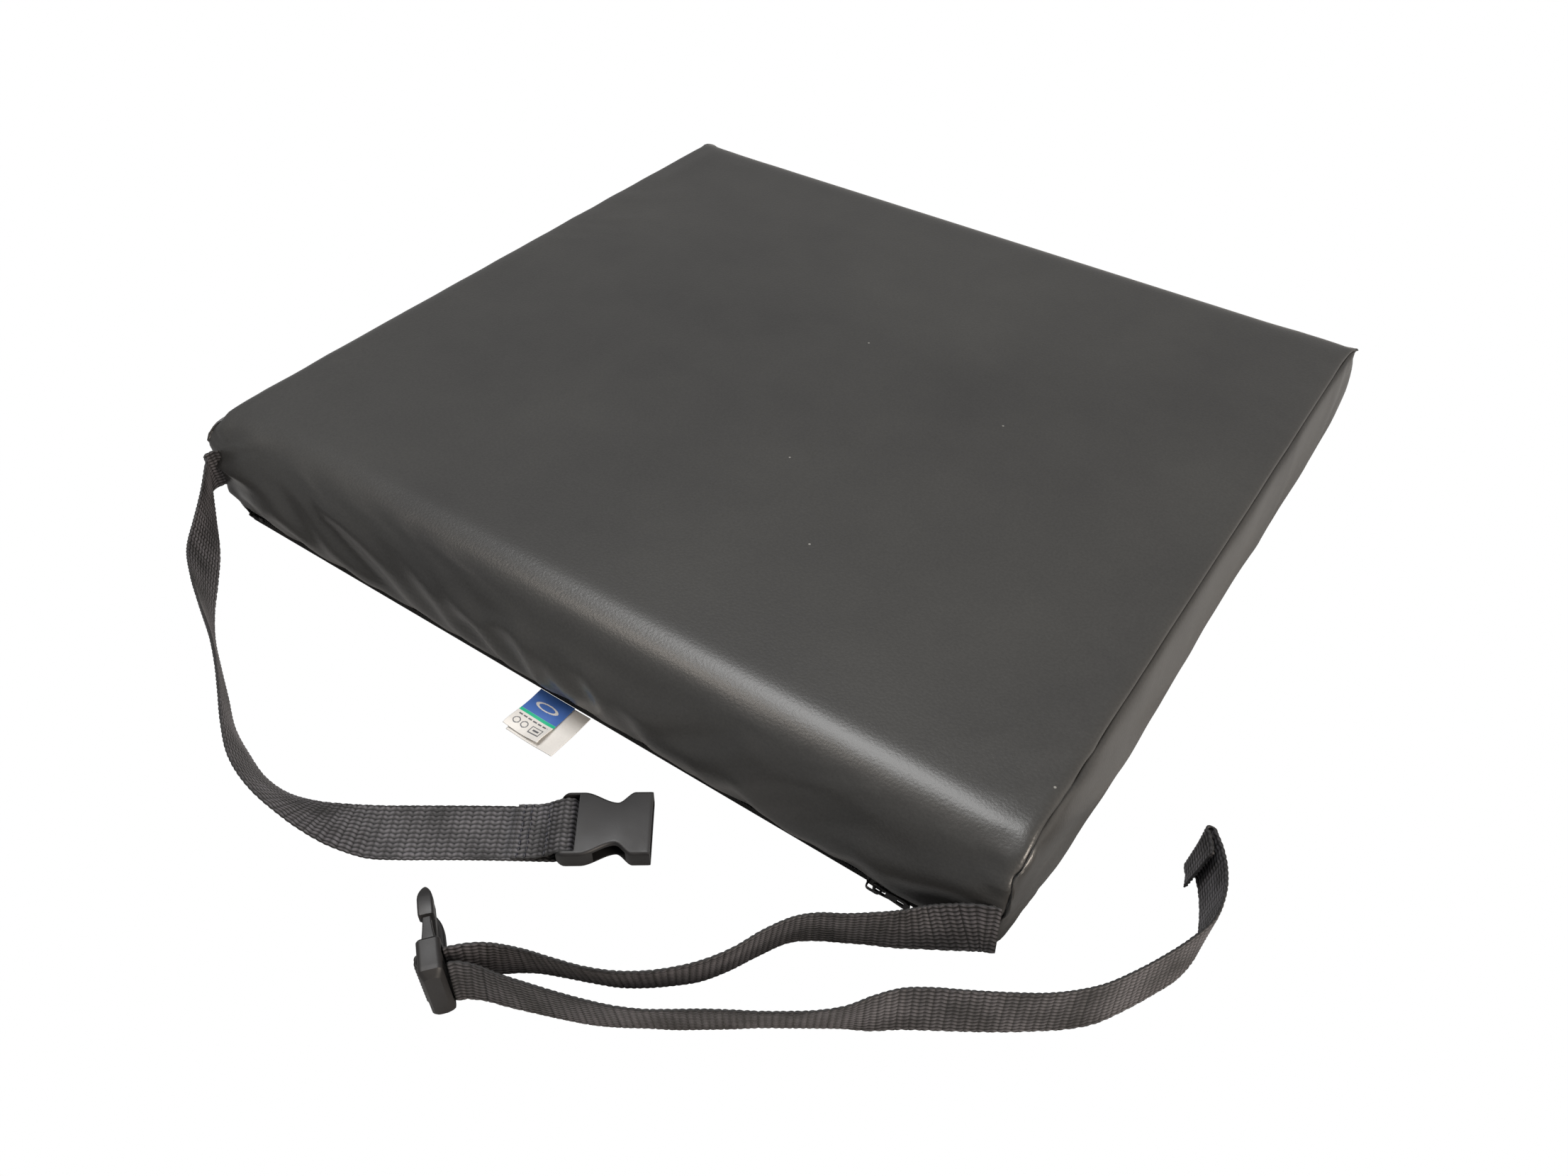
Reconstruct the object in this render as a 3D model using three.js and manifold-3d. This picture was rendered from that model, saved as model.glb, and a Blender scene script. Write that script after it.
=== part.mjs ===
// Flat foam seat cushion in a zipped cover, with two webbing straps and a side-release buckle.
// Millimetres, +Z up. The origin is the middle of the underside. The straps leave the -Y (rear) face.
import * as THREE from "three";
import { mergeVertices } from "three/addons/utils/BufferGeometryUtils.js";
import Module from "manifold-3d";

const wasm = await Module();
wasm.setup();

// ---------------------------------------------------------------- driving dimensions

const WIDTH = 420; // across, from one gusset seam to the other
const DEPTH = 402; // rear face to front face
const THICKNESS = 52.5;
const TOP_RADIUS = 24; // roll of the wrap panel over the rear and front top edges
const BOTTOM_RADIUS = 1.6;
const GUSSET_BULGE = 4.5; // how far the foam pushes each side gusset out
const COVER = 1; // cover cloth
const GAP = 0.3; // air between pieces that touch

const ZIP_TAPE = 1.6; // width of tape showing on each side of the teeth
const ZIP_COIL = 1; // height of one coil of teeth
const ZIP_CLOTH = 0.8; // tape thickness
const ZIP_LEFT = -188; // x of the left stop
const ZIP_RIGHT = 170; // x of the right stop
const ZIP_STOP = 2.5; // length of an end stop
const SLIDER_LENGTH = 8;
const SLIDER_WIDTH = 5.6;
const SLIDER_PLATE = 1.2;
const BAIL_HEIGHT = 3.4; // arch that holds the pull tab, above the slider's plate
const BAIL_BAR = 0.8;
const TAB_LENGTH = 15; // from the pivot to the tip
const TAB_WIDTH = 5;
const TAB_THICKNESS = 1;

const WEBBING_WIDTH = 25;
const WEBBING = 1.6; // thickness

const SOCKET_THICKNESS = 8.6;
const PLUG_THICKNESS = 8;
const BUCKLE_RAIL = 1.6; // plastic beside the webbing at each side of a slot
const BUCKLE_SLACK = 0.3; // room between webbing and rail, each side
const BAR = 2.4; // bars that the webbing turns round
const SLOT = 3.4; // slot length along the strap
const SOCKET_LENGTH = 35;
const SOCKET_WAIST = 19; // width at the two finger scoops
const SOCKET_WALL = 1.5;
const STRAP_BAR_LOW = 2.8; // the socket's strap bar, between the two runs of webbing
const STRAP_BAR_HIGH = 5.2;
const STRAP_BAR = 3.6;
const SOCKET_DEPTH = 24.5; // mouth to the back of the socket
const FRAME_CORNER = 2.2; // chamfer on the plug frame's two outer corners
const ARM_INSET = 2.2; // from the frame's edge to a latch arm
const ARM_LENGTH = 22.5; // root to tip of a latch arm
const ARM_NECK = 2.6;
const ARM_WIDTH = 4.2;
const HEAD_LENGTH = 13;
const HEAD_HEIGHT = 5;
const HEAD_STEP = 0.8; // how far the head stands in past the neck
const HEAD_WIDTH = 5;
const GUIDE_LENGTH = 23;
const GUIDE_HEIGHT = 5;
const GUIDE_WIDTH = 3;

const LABEL_WIDTH = 19;
const LABEL_LENGTH = 23; // from the seam to its hem, along the ground
const LABEL = 0.5; // thickness of a leaf
const LABEL_X = 5.5;
const CARE_WIDTH = 26;
const CARE_LENGTH = 27;
const CARE_SHIFT = 6; // the lower leaf sits this far to the right of the upper one

// Straps: x, y, z of the webbing's middle, then its lean in degrees from standing on edge, where
// plus leans the top edge to the left of the run, and 90 either way is lying flat.
const STRAP_LEFT_ROUTE = [
  [-207.6, -203.6, 27.6, 14],
  [-207.6, -206.8, 27.0, 13],
  [-204.5, -210.4, 25.8, 11],
  [-194.4, -220.1, 20.4, 2],
  [-183.4, -230.7, 15.9, -9],
  [-171.2, -242.5, 13.6, -14],
  [-156.3, -253.5, 13.0, -6],
  [-139.9, -263.4, 12.7, 2],
  [-122.7, -272.1, 12.7, 6],
  [-106.5, -280.9, 12.7, 5],
  [-91.1, -289.9, 12.7, 2],
  [-75.9, -297.2, 12.6, -9],
  [-60.3, -303.2, 12.0, -21],
  [-44.1, -305.0, 11.0, -34],
  [-29.3, -302.5, 8.3, -52],
  [-16.9, -297.8, 4.8, -72],
  [-6.3, -291.5, 1.6, -87],
  [3.3, -284.8, 1.0, -90],
  [12.8, -278.1, 1.0, -90],
  [22.2, -271.5, 1.0, -90],
  [32.1, -264.7, 1.0, -90],
  [41.2, -258.6, 1.0, -90],
  [49.5, -253.1, 1.0, -90],
  [56.0, -248.4, 1.0, -90],
];
const STRAP_RIGHT_ROUTE = [
  [211.0, -203.0, 19.6, -6],
  [205.0, -205.4, 17.4, -7],
  [198.0, -208.3, 15.4, -7],
  [189.5, -212.6, 13.4, -5],
  [181.5, -218.0, 12.6, 0],
  [173.5, -223.4, 12.6, 5],
  [165.5, -228.8, 12.6, 8],
  [157.2, -234.0, 12.6, 9],
  [150.4, -240.4, 12.6, 11],
  [144.9, -250.4, 12.6, 11],
  [140.2, -261.0, 12.5, 13],
  [134.6, -270.0, 12.4, 14],
  [128.0, -277.2, 12.4, 16],
  [120.9, -283.4, 12.3, 17],
  [113.0, -288.8, 12.3, 17],
  [104.2, -293.0, 12.3, 17],
  [94.8, -296.7, 12.4, 15],
  [85.8, -300.4, 12.6, 12],
  [77.4, -305.6, 13.2, 7],
  [70.6, -312.0, 14.2, 2],
  [65.2, -318.4, 14.4, 0],
];
const STRAP_TAIL_ROUTE = [
  [70.0, -321.6, 14.4, 0],
  [72.9, -318.9, 14.2, 0],
  [78.3, -316.0, 13.5, -1],
  [85.4, -313.6, 12.9, -3],
  [94.8, -310.2, 12.7, -5],
  [104.3, -306.7, 12.6, -7],
  [113.4, -303.0, 12.5, -9],
  [122.0, -298.8, 12.5, -12],
  [130.0, -294.0, 12.4, -14],
  [137.8, -288.9, 12.4, -13],
  [145.3, -283.5, 12.4, -13],
  [152.9, -278.2, 12.4, -14],
  [160.5, -272.9, 12.4, -16],
  [168.1, -267.6, 12.4, -16],
  [175.7, -262.1, 12.4, -15],
  [183.0, -256.2, 12.5, -11],
  [189.8, -249.8, 12.6, -1],
  [196.6, -243.2, 12.6, 4],
  [204.4, -237.7, 12.6, 5],
  [212.3, -232.8, 12.6, 4],
  [220.2, -227.8, 12.6, 3],
  [228.0, -222.6, 12.6, 2],
  [235.6, -217.1, 12.6, 1],
  [243.0, -210.9, 12.6, 2],
  [250.0, -203.4, 12.6, 3],
  [256.0, -193.8, 12.6, 3],
  [261.7, -183.0, 12.6, 3],
  [266.9, -171.3, 12.6, 3],
  [269.6, -159.0, 12.6, -2],
  [268.0, -147.4, 12.6, -7],
  [264.8, -137.8, 12.5, -8],
  [260.9, -130.4, 12.5, -7],
  [256.3, -124.5, 12.5, -6],
];
const ROUTE_STEPS = 3; // sections between two points of a route

// Where the two buckle halves lie: the middle of the end that the strap enters, and a heading.
const SOCKET_AT = new THREE.Vector3(52.2, -251.2, 0);
const SOCKET_HEADING = 36; // degrees from +X
const PLUG_AT = new THREE.Vector3(70.2, -327.8, 0);
const PLUG_HEADING = 140.7;

// Worked out from the above.
const BUCKLE_WIDTH = WEBBING_WIDTH + 2 * (BUCKLE_RAIL + BUCKLE_SLACK);
const REAR = -DEPTH / 2;
const TAPE_LOW = BOTTOM_RADIUS + GAP;
const COIL_LOW = TAPE_LOW + ZIP_TAPE + GAP;
const COIL_HIGH = COIL_LOW + ZIP_COIL + GAP;
const TAPE_HIGH = COIL_HIGH + ZIP_COIL + GAP;
const WRAP_LOW = TAPE_HIGH + ZIP_TAPE + GAP;
const ZIP_MIDDLE = COIL_HIGH - GAP / 2;
const ZIP_REST = ZIP_RIGHT - ZIP_STOP - GAP - SLIDER_LENGTH / 2;

// ---------------------------------------------------------------- finishes

const finish = (colour, roughness, metalness = 0) =>
  new THREE.MeshStandardMaterial({ color: colour, roughness, metalness });
const COVER_CLOTH = finish(0x45443f, 0.6);
const BASE_CLOTH = finish(0x2f2f2f, 0.8);
const FOAM = finish(0xd9d2b8, 0.95);
const ZIP_NYLON = finish(0x1c1c1c, 0.5);
const ZIP_METAL = finish(0x2a2a2a, 0.4, 0.8);
const WEBBING_YARN = finish(0x3c3a3a, 0.85);
const BUCKLE_PLASTIC = finish(0x3a3a3b, 0.5);
const LABEL_SATIN = finish(0xf2f2f0, 0.7);

// ---------------------------------------------------------------- shape helpers

const cushion = new THREE.Group();

function add(name, geometry, material, parent = cushion) {
  const mesh = new THREE.Mesh(geometry, material);
  mesh.name = name;
  parent.add(mesh);
  return mesh;
}

// A box from its low and high corners.
function block(low, high) {
  const size = high.map((h, i) => h - low[i]);
  return new THREE.BoxGeometry(...size).translate(...low.map((l, i) => l + size[i] / 2));
}

function toSolid(geometry) {
  const bare = geometry.clone();
  bare.deleteAttribute("normal");
  bare.deleteAttribute("uv");
  const merged = mergeVertices(bare, 1e-4);
  return new wasm.Manifold(
    new wasm.Mesh({
      numProp: 3,
      vertProperties: new Float32Array(merged.attributes.position.array),
      triVerts: new Uint32Array(merged.index.array),
    }),
  );
}

function toGeometry(solid) {
  const mesh = solid.getMesh();
  return new THREE.BufferGeometry()
    .setAttribute("position", new THREE.BufferAttribute(mesh.vertProperties, 3))
    .setIndex(new THREE.BufferAttribute(mesh.triVerts, 1));
}

const join = (...parts) => toGeometry(parts.map(toSolid).reduce((a, b) => a.add(b)));
const cut = (body, ...tools) =>
  toGeometry(tools.map(toSolid).reduce((a, b) => a.subtract(b), toSolid(body)));

// An outline in the YZ plane pushed along X from one place to another.
function alongX(shape, from, to) {
  return new THREE.ExtrudeGeometry(shape, { depth: to - from, bevelEnabled: false, curveSegments: 6 })
    .rotateX(Math.PI / 2)
    .rotateZ(Math.PI / 2)
    .translate(from, 0, 0);
}

// The cushion's cross-section, drawn in by `inset`, as points that run round it once.
function sectionPoints(inset) {
  const y = DEPTH / 2 - inset;
  const shape = new THREE.Shape();
  const roll = Math.max(TOP_RADIUS - inset, 1);
  const low = Math.max(BOTTOM_RADIUS - inset, 1);
  shape.absarc(y - low, inset + low, low, -Math.PI / 2, 0);
  shape.absarc(y - roll, THICKNESS - inset - roll, roll, 0, Math.PI / 2);
  shape.absarc(-y + roll, THICKNESS - inset - roll, roll, Math.PI / 2, Math.PI);
  shape.absarc(-y + low, inset + low, low, Math.PI, 1.5 * Math.PI);
  return shape.extractPoints(8).shape;
}

// A closed mesh from rings of points, with the first and last ring capped flat.
function loft(rings) {
  const count = rings[0].length;
  const points = rings.flat();
  const index = [];
  for (let r = 0; r + 1 < rings.length; r++)
    for (let k = 0; k < count; k++) {
      const a = r * count + k;
      const b = r * count + ((k + 1) % count);
      index.push(a, b, a + count, b, b + count, a + count);
    }
  const last = (rings.length - 1) * count;
  for (let k = 1; k + 1 < count; k++) {
    index.push(0, k + 1, k);
    index.push(last, last + k, last + k + 1);
  }
  return new THREE.BufferGeometry()
    .setAttribute("position", new THREE.Float32BufferAttribute(points.flat(), 3))
    .setIndex(index);
}

// How far a side is pushed out where the section has shrunk to `scale` of its full size.
const DOME_SCALES = [1, 0.9, 0.75, 0.5, 0.2];
const dome = (scale) => GUSSET_BULGE * (1 - scale ** 4);
const ringAt = (outline, scale, x) =>
  outline.map((p) => [x, p.x * scale, THICKNESS / 2 + (p.y - THICKNESS / 2) * scale]);

// ---------------------------------------------------------------- foam and cover

// One block of foam, cut square and pressed a little proud of each gusset.
{
  const outline = sectionPoints(COVER + GAP);
  const side = WIDTH / 2 - GAP;
  const right = DOME_SCALES.map((s) => ringAt(outline, s, side + dome(s)));
  const left = DOME_SCALES.map((s) => ringAt(outline, s, -side - dome(s))).reverse();
  add("foam_core", loft([...left, ...right]), FOAM);
}

// Wrap panel: up the rear face, over the top and down the front, in one piece of cloth.
{
  const outer = new THREE.Shape(sectionPoints(0));
  outer.holes.push(new THREE.Path(sectionPoints(COVER).reverse()));
  const sleeve = alongX(outer, -WIDTH / 2 + GAP, WIDTH / 2 - GAP);
  const underside = block([-WIDTH, REAR - 1, -1], [WIDTH, DEPTH / 2 - BOTTOM_RADIUS, BOTTOM_RADIUS]);
  const zipGap = block([-WIDTH, REAR - 1, -1], [WIDTH, REAR + BOTTOM_RADIUS, WRAP_LOW]);
  add("cover_wrap", cut(sleeve, underside, zipGap), COVER_CLOTH);
  const rearEdge = block([-WIDTH, REAR - 1, -1], [WIDTH, REAR + BOTTOM_RADIUS, BOTTOM_RADIUS]);
  const base = block([-WIDTH, REAR, -1], [WIDTH, DEPTH / 2 - BOTTOM_RADIUS - GAP, COVER + GAP / 2]);
  const kept = toSolid(join(rearEdge, base));
  add("cover_base", toGeometry(toSolid(sleeve).intersect(kept)), BASE_CLOTH);
}

// Side gussets, sewn to the wrap along its edges and domed by the foam.
for (const [name, side] of [["gusset_left", -1], ["gusset_right", 1]]) {
  const outline = sectionPoints(0);
  const outer = DOME_SCALES.map((s) => ringAt(outline, s, side * (WIDTH / 2 + COVER + dome(s))));
  const inner = DOME_SCALES.map((s) => ringAt(outline, s, side * (WIDTH / 2 + dome(s)))).reverse();
  add(name, loft(side > 0 ? [...inner, ...outer] : [...inner, ...outer].reverse()), COVER_CLOTH);
}

// ---------------------------------------------------------------- zip

const tapeFace = REAR + ZIP_CLOTH;
const tapeEnd = WIDTH / 2 - GAP;
for (const [name, low] of [["zip_tape_lower", TAPE_LOW], ["zip_tape_upper", TAPE_HIGH]])
  add(name, block([-tapeEnd, REAR, low], [tapeEnd, tapeFace, low + ZIP_TAPE]), ZIP_NYLON);
for (const [name, low] of [["zip_teeth_lower", COIL_LOW], ["zip_teeth_upper", COIL_HIGH]])
  add(
    name,
    block(
      [ZIP_LEFT + ZIP_STOP + GAP, REAR - 0.4, low],
      [ZIP_RIGHT - ZIP_STOP - GAP, tapeFace, low + ZIP_COIL],
    ),
    ZIP_NYLON,
  );
for (const [name, x] of [["zip_stop_left", ZIP_LEFT], ["zip_stop_right", ZIP_RIGHT - ZIP_STOP]])
  add(
    name,
    block([x, REAR - 0.9, COIL_LOW], [x + ZIP_STOP, tapeFace, COIL_HIGH + ZIP_COIL]),
    ZIP_METAL,
  );

// Slider: the plate in front of the teeth, and an arch that holds the tab.
const plateBack = REAR - 0.4 - GAP;
const plateFront = plateBack - SLIDER_PLATE;
const bailFront = plateFront - BAIL_HEIGHT;
{
  const half = SLIDER_LENGTH / 2;
  const plate = block(
    [-half, plateFront, ZIP_MIDDLE - SLIDER_WIDTH / 2],
    [half, plateBack, ZIP_MIDDLE + SLIDER_WIDTH / 2],
  );
  const arch = block(
    [-half + 1, bailFront, ZIP_MIDDLE - BAIL_BAR],
    [half - 1, plateFront + 0.1, ZIP_MIDDLE + BAIL_BAR],
  );
  const eye = block(
    [-half + 1 + BAIL_BAR, bailFront + BAIL_BAR, ZIP_MIDDLE - 5],
    [half - 1 - BAIL_BAR, plateFront, ZIP_MIDDLE + 5],
  );
  add("zip_slider", join(plate, cut(arch, eye)), ZIP_METAL).position.x = ZIP_REST;
}

// Pull tab: a bar under the arch, two legs beside it and a plate.
{
  const pivotY = (plateFront + bailFront + BAIL_BAR) / 2;
  const halfT = TAB_THICKNESS / 2;
  const halfW = TAB_WIDTH / 2;
  const blade = block(
    [-halfT, pivotY - halfT, ZIP_MIDDLE - halfW],
    [TAB_LENGTH, pivotY + halfT, ZIP_MIDDLE + halfW],
  );
  const legEnd = SLIDER_LENGTH / 2 + 1.5;
  const eyeHalf = BAIL_BAR + 2 * GAP;
  const eye = block(
    [halfT, pivotY - TAB_THICKNESS, ZIP_MIDDLE - eyeHalf],
    [legEnd, pivotY + TAB_THICKNESS, ZIP_MIDDLE + eyeHalf],
  );
  add("zip_pull_tab", cut(blade, eye), ZIP_METAL).position.x = ZIP_REST;
}

// ---------------------------------------------------------------- webbing

// A flat ribbon that follows a route and leans as the route says.
function ribbon(route, width = WEBBING_WIDTH, thickness = WEBBING) {
  const curve = new THREE.CatmullRomCurve3(route.map((p) => new THREE.Vector3(...p.slice(0, 3))));
  const leans = new THREE.CatmullRomCurve3(route.map((p, i) => new THREE.Vector3(i, p[3], 0)));
  const sections = (route.length - 1) * ROUTE_STEPS;
  const up = new THREE.Vector3(0, 0, 1);
  const rings = [];
  for (let i = 0; i <= sections; i++) {
    const t = i / sections;
    const lean = THREE.MathUtils.degToRad(leans.getPoint(t).y);
    const middle = curve.getPoint(t);
    const run = curve.getTangent(t);
    const left = up.clone().cross(run).normalize();
    const rise = run.clone().cross(left);
    const across = rise.clone().multiplyScalar(Math.cos(lean)).addScaledVector(left, Math.sin(lean));
    const face = run.clone().cross(across);
    const corner = (a, b) =>
      middle
        .clone()
        .addScaledVector(across, (a * width) / 2)
        .addScaledVector(face, (b * thickness) / 2)
        .toArray();
    rings.push([corner(1, 1), corner(-1, 1), corner(-1, -1), corner(1, -1)]);
  }
  return loft(rings);
}

add("strap_left", ribbon(STRAP_LEFT_ROUTE), WEBBING_YARN);
add("strap_right", ribbon(STRAP_RIGHT_ROUTE), WEBBING_YARN);
add("strap_tail", ribbon(STRAP_TAIL_ROUTE), WEBBING_YARN);

// The tail's end is turned back on itself and stitched, on the side that faces the cushion.
const HEM = 9; // length turned back
const HEM_FOLD = 0.6; // room that the fold takes between its two layers
{
  const end = STRAP_TAIL_ROUTE.length - 1;
  const [x1, y1, z1] = STRAP_TAIL_ROUTE[end];
  const [x0, y0] = STRAP_TAIL_ROUTE[end - 1];
  const run = new THREE.Vector2(x1 - x0, y1 - y0).normalize();
  const lean = STRAP_TAIL_ROUTE[end][3];
  const side = WEBBING + GAP + HEM_FOLD;
  const middle = [x1 - run.y * side, y1 + run.x * side];
  const hem = [-HEM, -HEM / 2, 0].map((s) => [middle[0] + run.x * s, middle[1] + run.y * s, z1, lean]);
  add("strap_tail_hem", ribbon(hem), WEBBING_YARN);
}

// ---------------------------------------------------------------- buckle, socket half

// Lies flat. Local +X runs from the strap to the mouth, and Z is up.
const socketGroup = new THREE.Group();
socketGroup.position.copy(SOCKET_AT);
socketGroup.rotation.z = THREE.MathUtils.degToRad(SOCKET_HEADING);
cushion.add(socketGroup);
{
  const half = BUCKLE_WIDTH / 2;
  const waist = SOCKET_WAIST / 2;
  const plan = new THREE.Shape();
  plan.moveTo(0, -half + 2);
  plan.quadraticCurveTo(0, -half, 3, -half);
  plan.lineTo(8, -half);
  plan.bezierCurveTo(13, -half, 14, -waist, 20, -waist);
  plan.bezierCurveTo(25, -waist, 24, -half, 28, -half);
  plan.lineTo(SOCKET_LENGTH, -half);
  plan.lineTo(SOCKET_LENGTH, half);
  plan.lineTo(28, half);
  plan.bezierCurveTo(24, half, 25, waist, 20, waist);
  plan.bezierCurveTo(14, waist, 13, half, 8, half);
  plan.lineTo(3, half);
  plan.quadraticCurveTo(0, half, 0, half - 2);
  const bevel = 0.8;
  const body = new THREE.ExtrudeGeometry(plan, {
    depth: SOCKET_THICKNESS - 2 * bevel,
    bevelThickness: bevel,
    bevelSize: bevel,
    bevelOffset: -bevel,
    bevelSegments: 1,
    curveSegments: 6,
  }).translate(0, 0, bevel);
  const slotHalf = half - BUCKLE_RAIL;
  const mouthLow = SOCKET_WALL;
  const mouthHigh = SOCKET_THICKNESS - SOCKET_WALL;
  const chamber = block(
    [SOCKET_LENGTH - SOCKET_DEPTH, -slotHalf, mouthLow],
    [SOCKET_LENGTH + 1, slotHalf, mouthHigh],
  );
  const above = SOCKET_THICKNESS + 1;
  const strapSlot = block([STRAP_BAR, -slotHalf, -1], [STRAP_BAR + SLOT, slotHalf, above]);
  const barTop = block([-1, -slotHalf, STRAP_BAR_HIGH], [STRAP_BAR + 0.1, slotHalf, above]);
  const barUnder = block([-1, -slotHalf, -1], [STRAP_BAR + 0.1, slotHalf, STRAP_BAR_LOW]);
  add("buckle_socket", cut(body, chamber, strapSlot, barTop, barUnder), BUCKLE_PLASTIC, socketGroup);
}

// The strap goes under the bar, up through the slot, back over the bar and is sewn to itself.
const FOLD = 17; // length of the turned-back webbing that lies on the strap
{
  const over = STRAP_BAR_HIGH + WEBBING / 2 + 2 * GAP;
  const rest = 1.5 * WEBBING + 2 * GAP;
  const fold = [
    [STRAP_BAR + SLOT / 2 + 0.4, 3.2],
    [STRAP_BAR + SLOT / 2 + 0.2, over - 1.1],
    [STRAP_BAR, over + 0.3],
    [0.5, over],
    [-2.5, over - 1.3],
    [-5.5, rest + 0.9],
    [-9, rest],
    [-FOLD, rest],
  ];
  add("strap_left_fold", ribbon(fold.map(([x, z]) => [x, 0, z, -90])), WEBBING_YARN, socketGroup);
}

// ---------------------------------------------------------------- buckle, plug half

// Stands on one edge. Local +X runs from the strap end to the tips, and Z is the strap's width.
const plugGroup = new THREE.Group();
plugGroup.position.copy(PLUG_AT);
plugGroup.rotation.z = THREE.MathUtils.degToRad(PLUG_HEADING);
cushion.add(plugGroup);

const FRAME_LENGTH = 3 * BAR + 2 * SLOT;
const armBottom = BUCKLE_WIDTH - ARM_INSET - ARM_NECK;
{
  const thick = PLUG_THICKNESS;
  const frame = block([0, -thick / 2, 0], [FRAME_LENGTH, thick / 2, BUCKLE_WIDTH]);
  const chamfer = (z, out) =>
    new THREE.BoxGeometry(2 * FRAME_CORNER, thick * 2, 2 * FRAME_CORNER)
      .rotateY(Math.PI / 4)
      .translate(-0.6, 0, z + out);
  const chamfers = [chamfer(0, -0.6), chamfer(BUCKLE_WIDTH, 0.6)];
  const slots = [BAR, 2 * BAR + SLOT].map((x) =>
    block([x, -thick, BUCKLE_RAIL], [x + SLOT, thick, BUCKLE_WIDTH - BUCKLE_RAIL]),
  );
  const turnRoom = block(
    [BAR, BAR / 2, BUCKLE_RAIL],
    [2 * BAR + 2 * SLOT, thick, BUCKLE_WIDTH - BUCKLE_RAIL],
  );
  const guide = block(
    [FRAME_LENGTH - 0.5, -GUIDE_WIDTH / 2, (BUCKLE_WIDTH - GUIDE_HEIGHT) / 2],
    [FRAME_LENGTH + GUIDE_LENGTH, GUIDE_WIDTH / 2, (BUCKLE_WIDTH + GUIDE_HEIGHT) / 2],
  );
  const open = cut(frame, ...chamfers, ...slots, turnRoom);
  add("buckle_plug_frame", join(open, guide), BUCKLE_PLASTIC, plugGroup);
}

// Two latch arms, moulded as springs on the frame: a slim neck and a barbed head with a pointed tip.
for (const [name, side] of [["latch_arm_upper", 1], ["latch_arm_lower", -1]]) {
  const root = FRAME_LENGTH + GAP;
  const tip = FRAME_LENGTH + ARM_LENGTH;
  const head = tip - HEAD_LENGTH;
  const place = (z) => (side > 0 ? z : BUCKLE_WIDTH - z);
  const neck = block(
    [root, -ARM_WIDTH / 2, Math.min(place(armBottom), place(armBottom + ARM_NECK))],
    [head + 0.5, ARM_WIDTH / 2, Math.max(place(armBottom), place(armBottom + ARM_NECK))],
  );
  const plan = new THREE.Shape();
  plan.moveTo(head, -HEAD_WIDTH / 2);
  plan.lineTo(tip - 5, -HEAD_WIDTH / 2);
  plan.quadraticCurveTo(tip - 1.5, -HEAD_WIDTH / 3, tip, 0);
  plan.quadraticCurveTo(tip - 1.5, HEAD_WIDTH / 3, tip - 5, HEAD_WIDTH / 2);
  plan.lineTo(head, HEAD_WIDTH / 2);
  const headLow = Math.min(place(armBottom - HEAD_STEP), place(armBottom - HEAD_STEP + HEAD_HEIGHT));
  const barb = new THREE.ExtrudeGeometry(plan, { depth: HEAD_HEIGHT, bevelEnabled: false, curveSegments: 4 })
    .translate(0, 0, headLow);
  add(name, join(neck, barb), BUCKLE_PLASTIC, plugGroup);
}

// The strap comes in through the inner slot, turns round the middle bar and leaves as the tail.
{
  const inner = 2 * BAR + 1.5 * SLOT;
  const outer = BAR + 0.5 * SLOT;
  const between = (inner + outer) / 2;
  const front = -PLUG_THICKNESS / 2 + 0.9;
  const back = BAR / 2 + WEBBING + GAP;
  const turn = [
    [inner, front],
    [inner + 0.2, 0],
    [inner, back - 1.2],
    [between + 1.4, back],
    [between - 1.4, back],
    [outer, back - 1.2],
    [outer - 0.2, 0],
    [outer, front],
  ];
  add(
    "strap_turn",
    ribbon(turn.map(([x, y]) => [x, y, BUCKLE_WIDTH / 2, 0])),
    WEBBING_YARN,
    plugGroup,
  );
}

// ---------------------------------------------------------------- labels

// Two satin leaves caught in the seam under the zip, one on the other, lying out on the ground.
const LABEL_ROOT = REAR - 1.5 * GAP;
const LABEL_ROOT_HEIGHT = GAP; // low enough for the slider and its tab to pass over both leaves
function leaf(width, length, lift) {
  const path = [
    [0, LABEL_ROOT_HEIGHT + lift],
    [-8, lift],
    [-length, lift],
  ];
  const profile = new THREE.Shape();
  path.forEach(([y, z], i) => (i ? profile.lineTo(y, z) : profile.moveTo(y, z)));
  [...path].reverse().forEach(([y, z]) => profile.lineTo(y, z + LABEL));
  return alongX(profile, -width / 2, width / 2);
}
const labels = [
  ["label_front", leaf(LABEL_WIDTH, LABEL_LENGTH, LABEL + GAP), LABEL_X],
  ["label_back", leaf(CARE_WIDTH, CARE_LENGTH, 0), LABEL_X + CARE_SHIFT],
];
for (const [name, geometry, x] of labels) add(name, geometry, LABEL_SATIN).position.set(x, LABEL_ROOT, 0);

export default cushion;
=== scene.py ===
"""A flat foam seat cushion in a zipped stretch cover, with two webbing straps and a side-release buckle.

The cushion lies on the ground with its strapped rear face towards -Y. Shapes are worked out in
millimetres, each as a function of two parameters on a grid, and turned to metres as the mesh is made.
"""

import math

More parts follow.
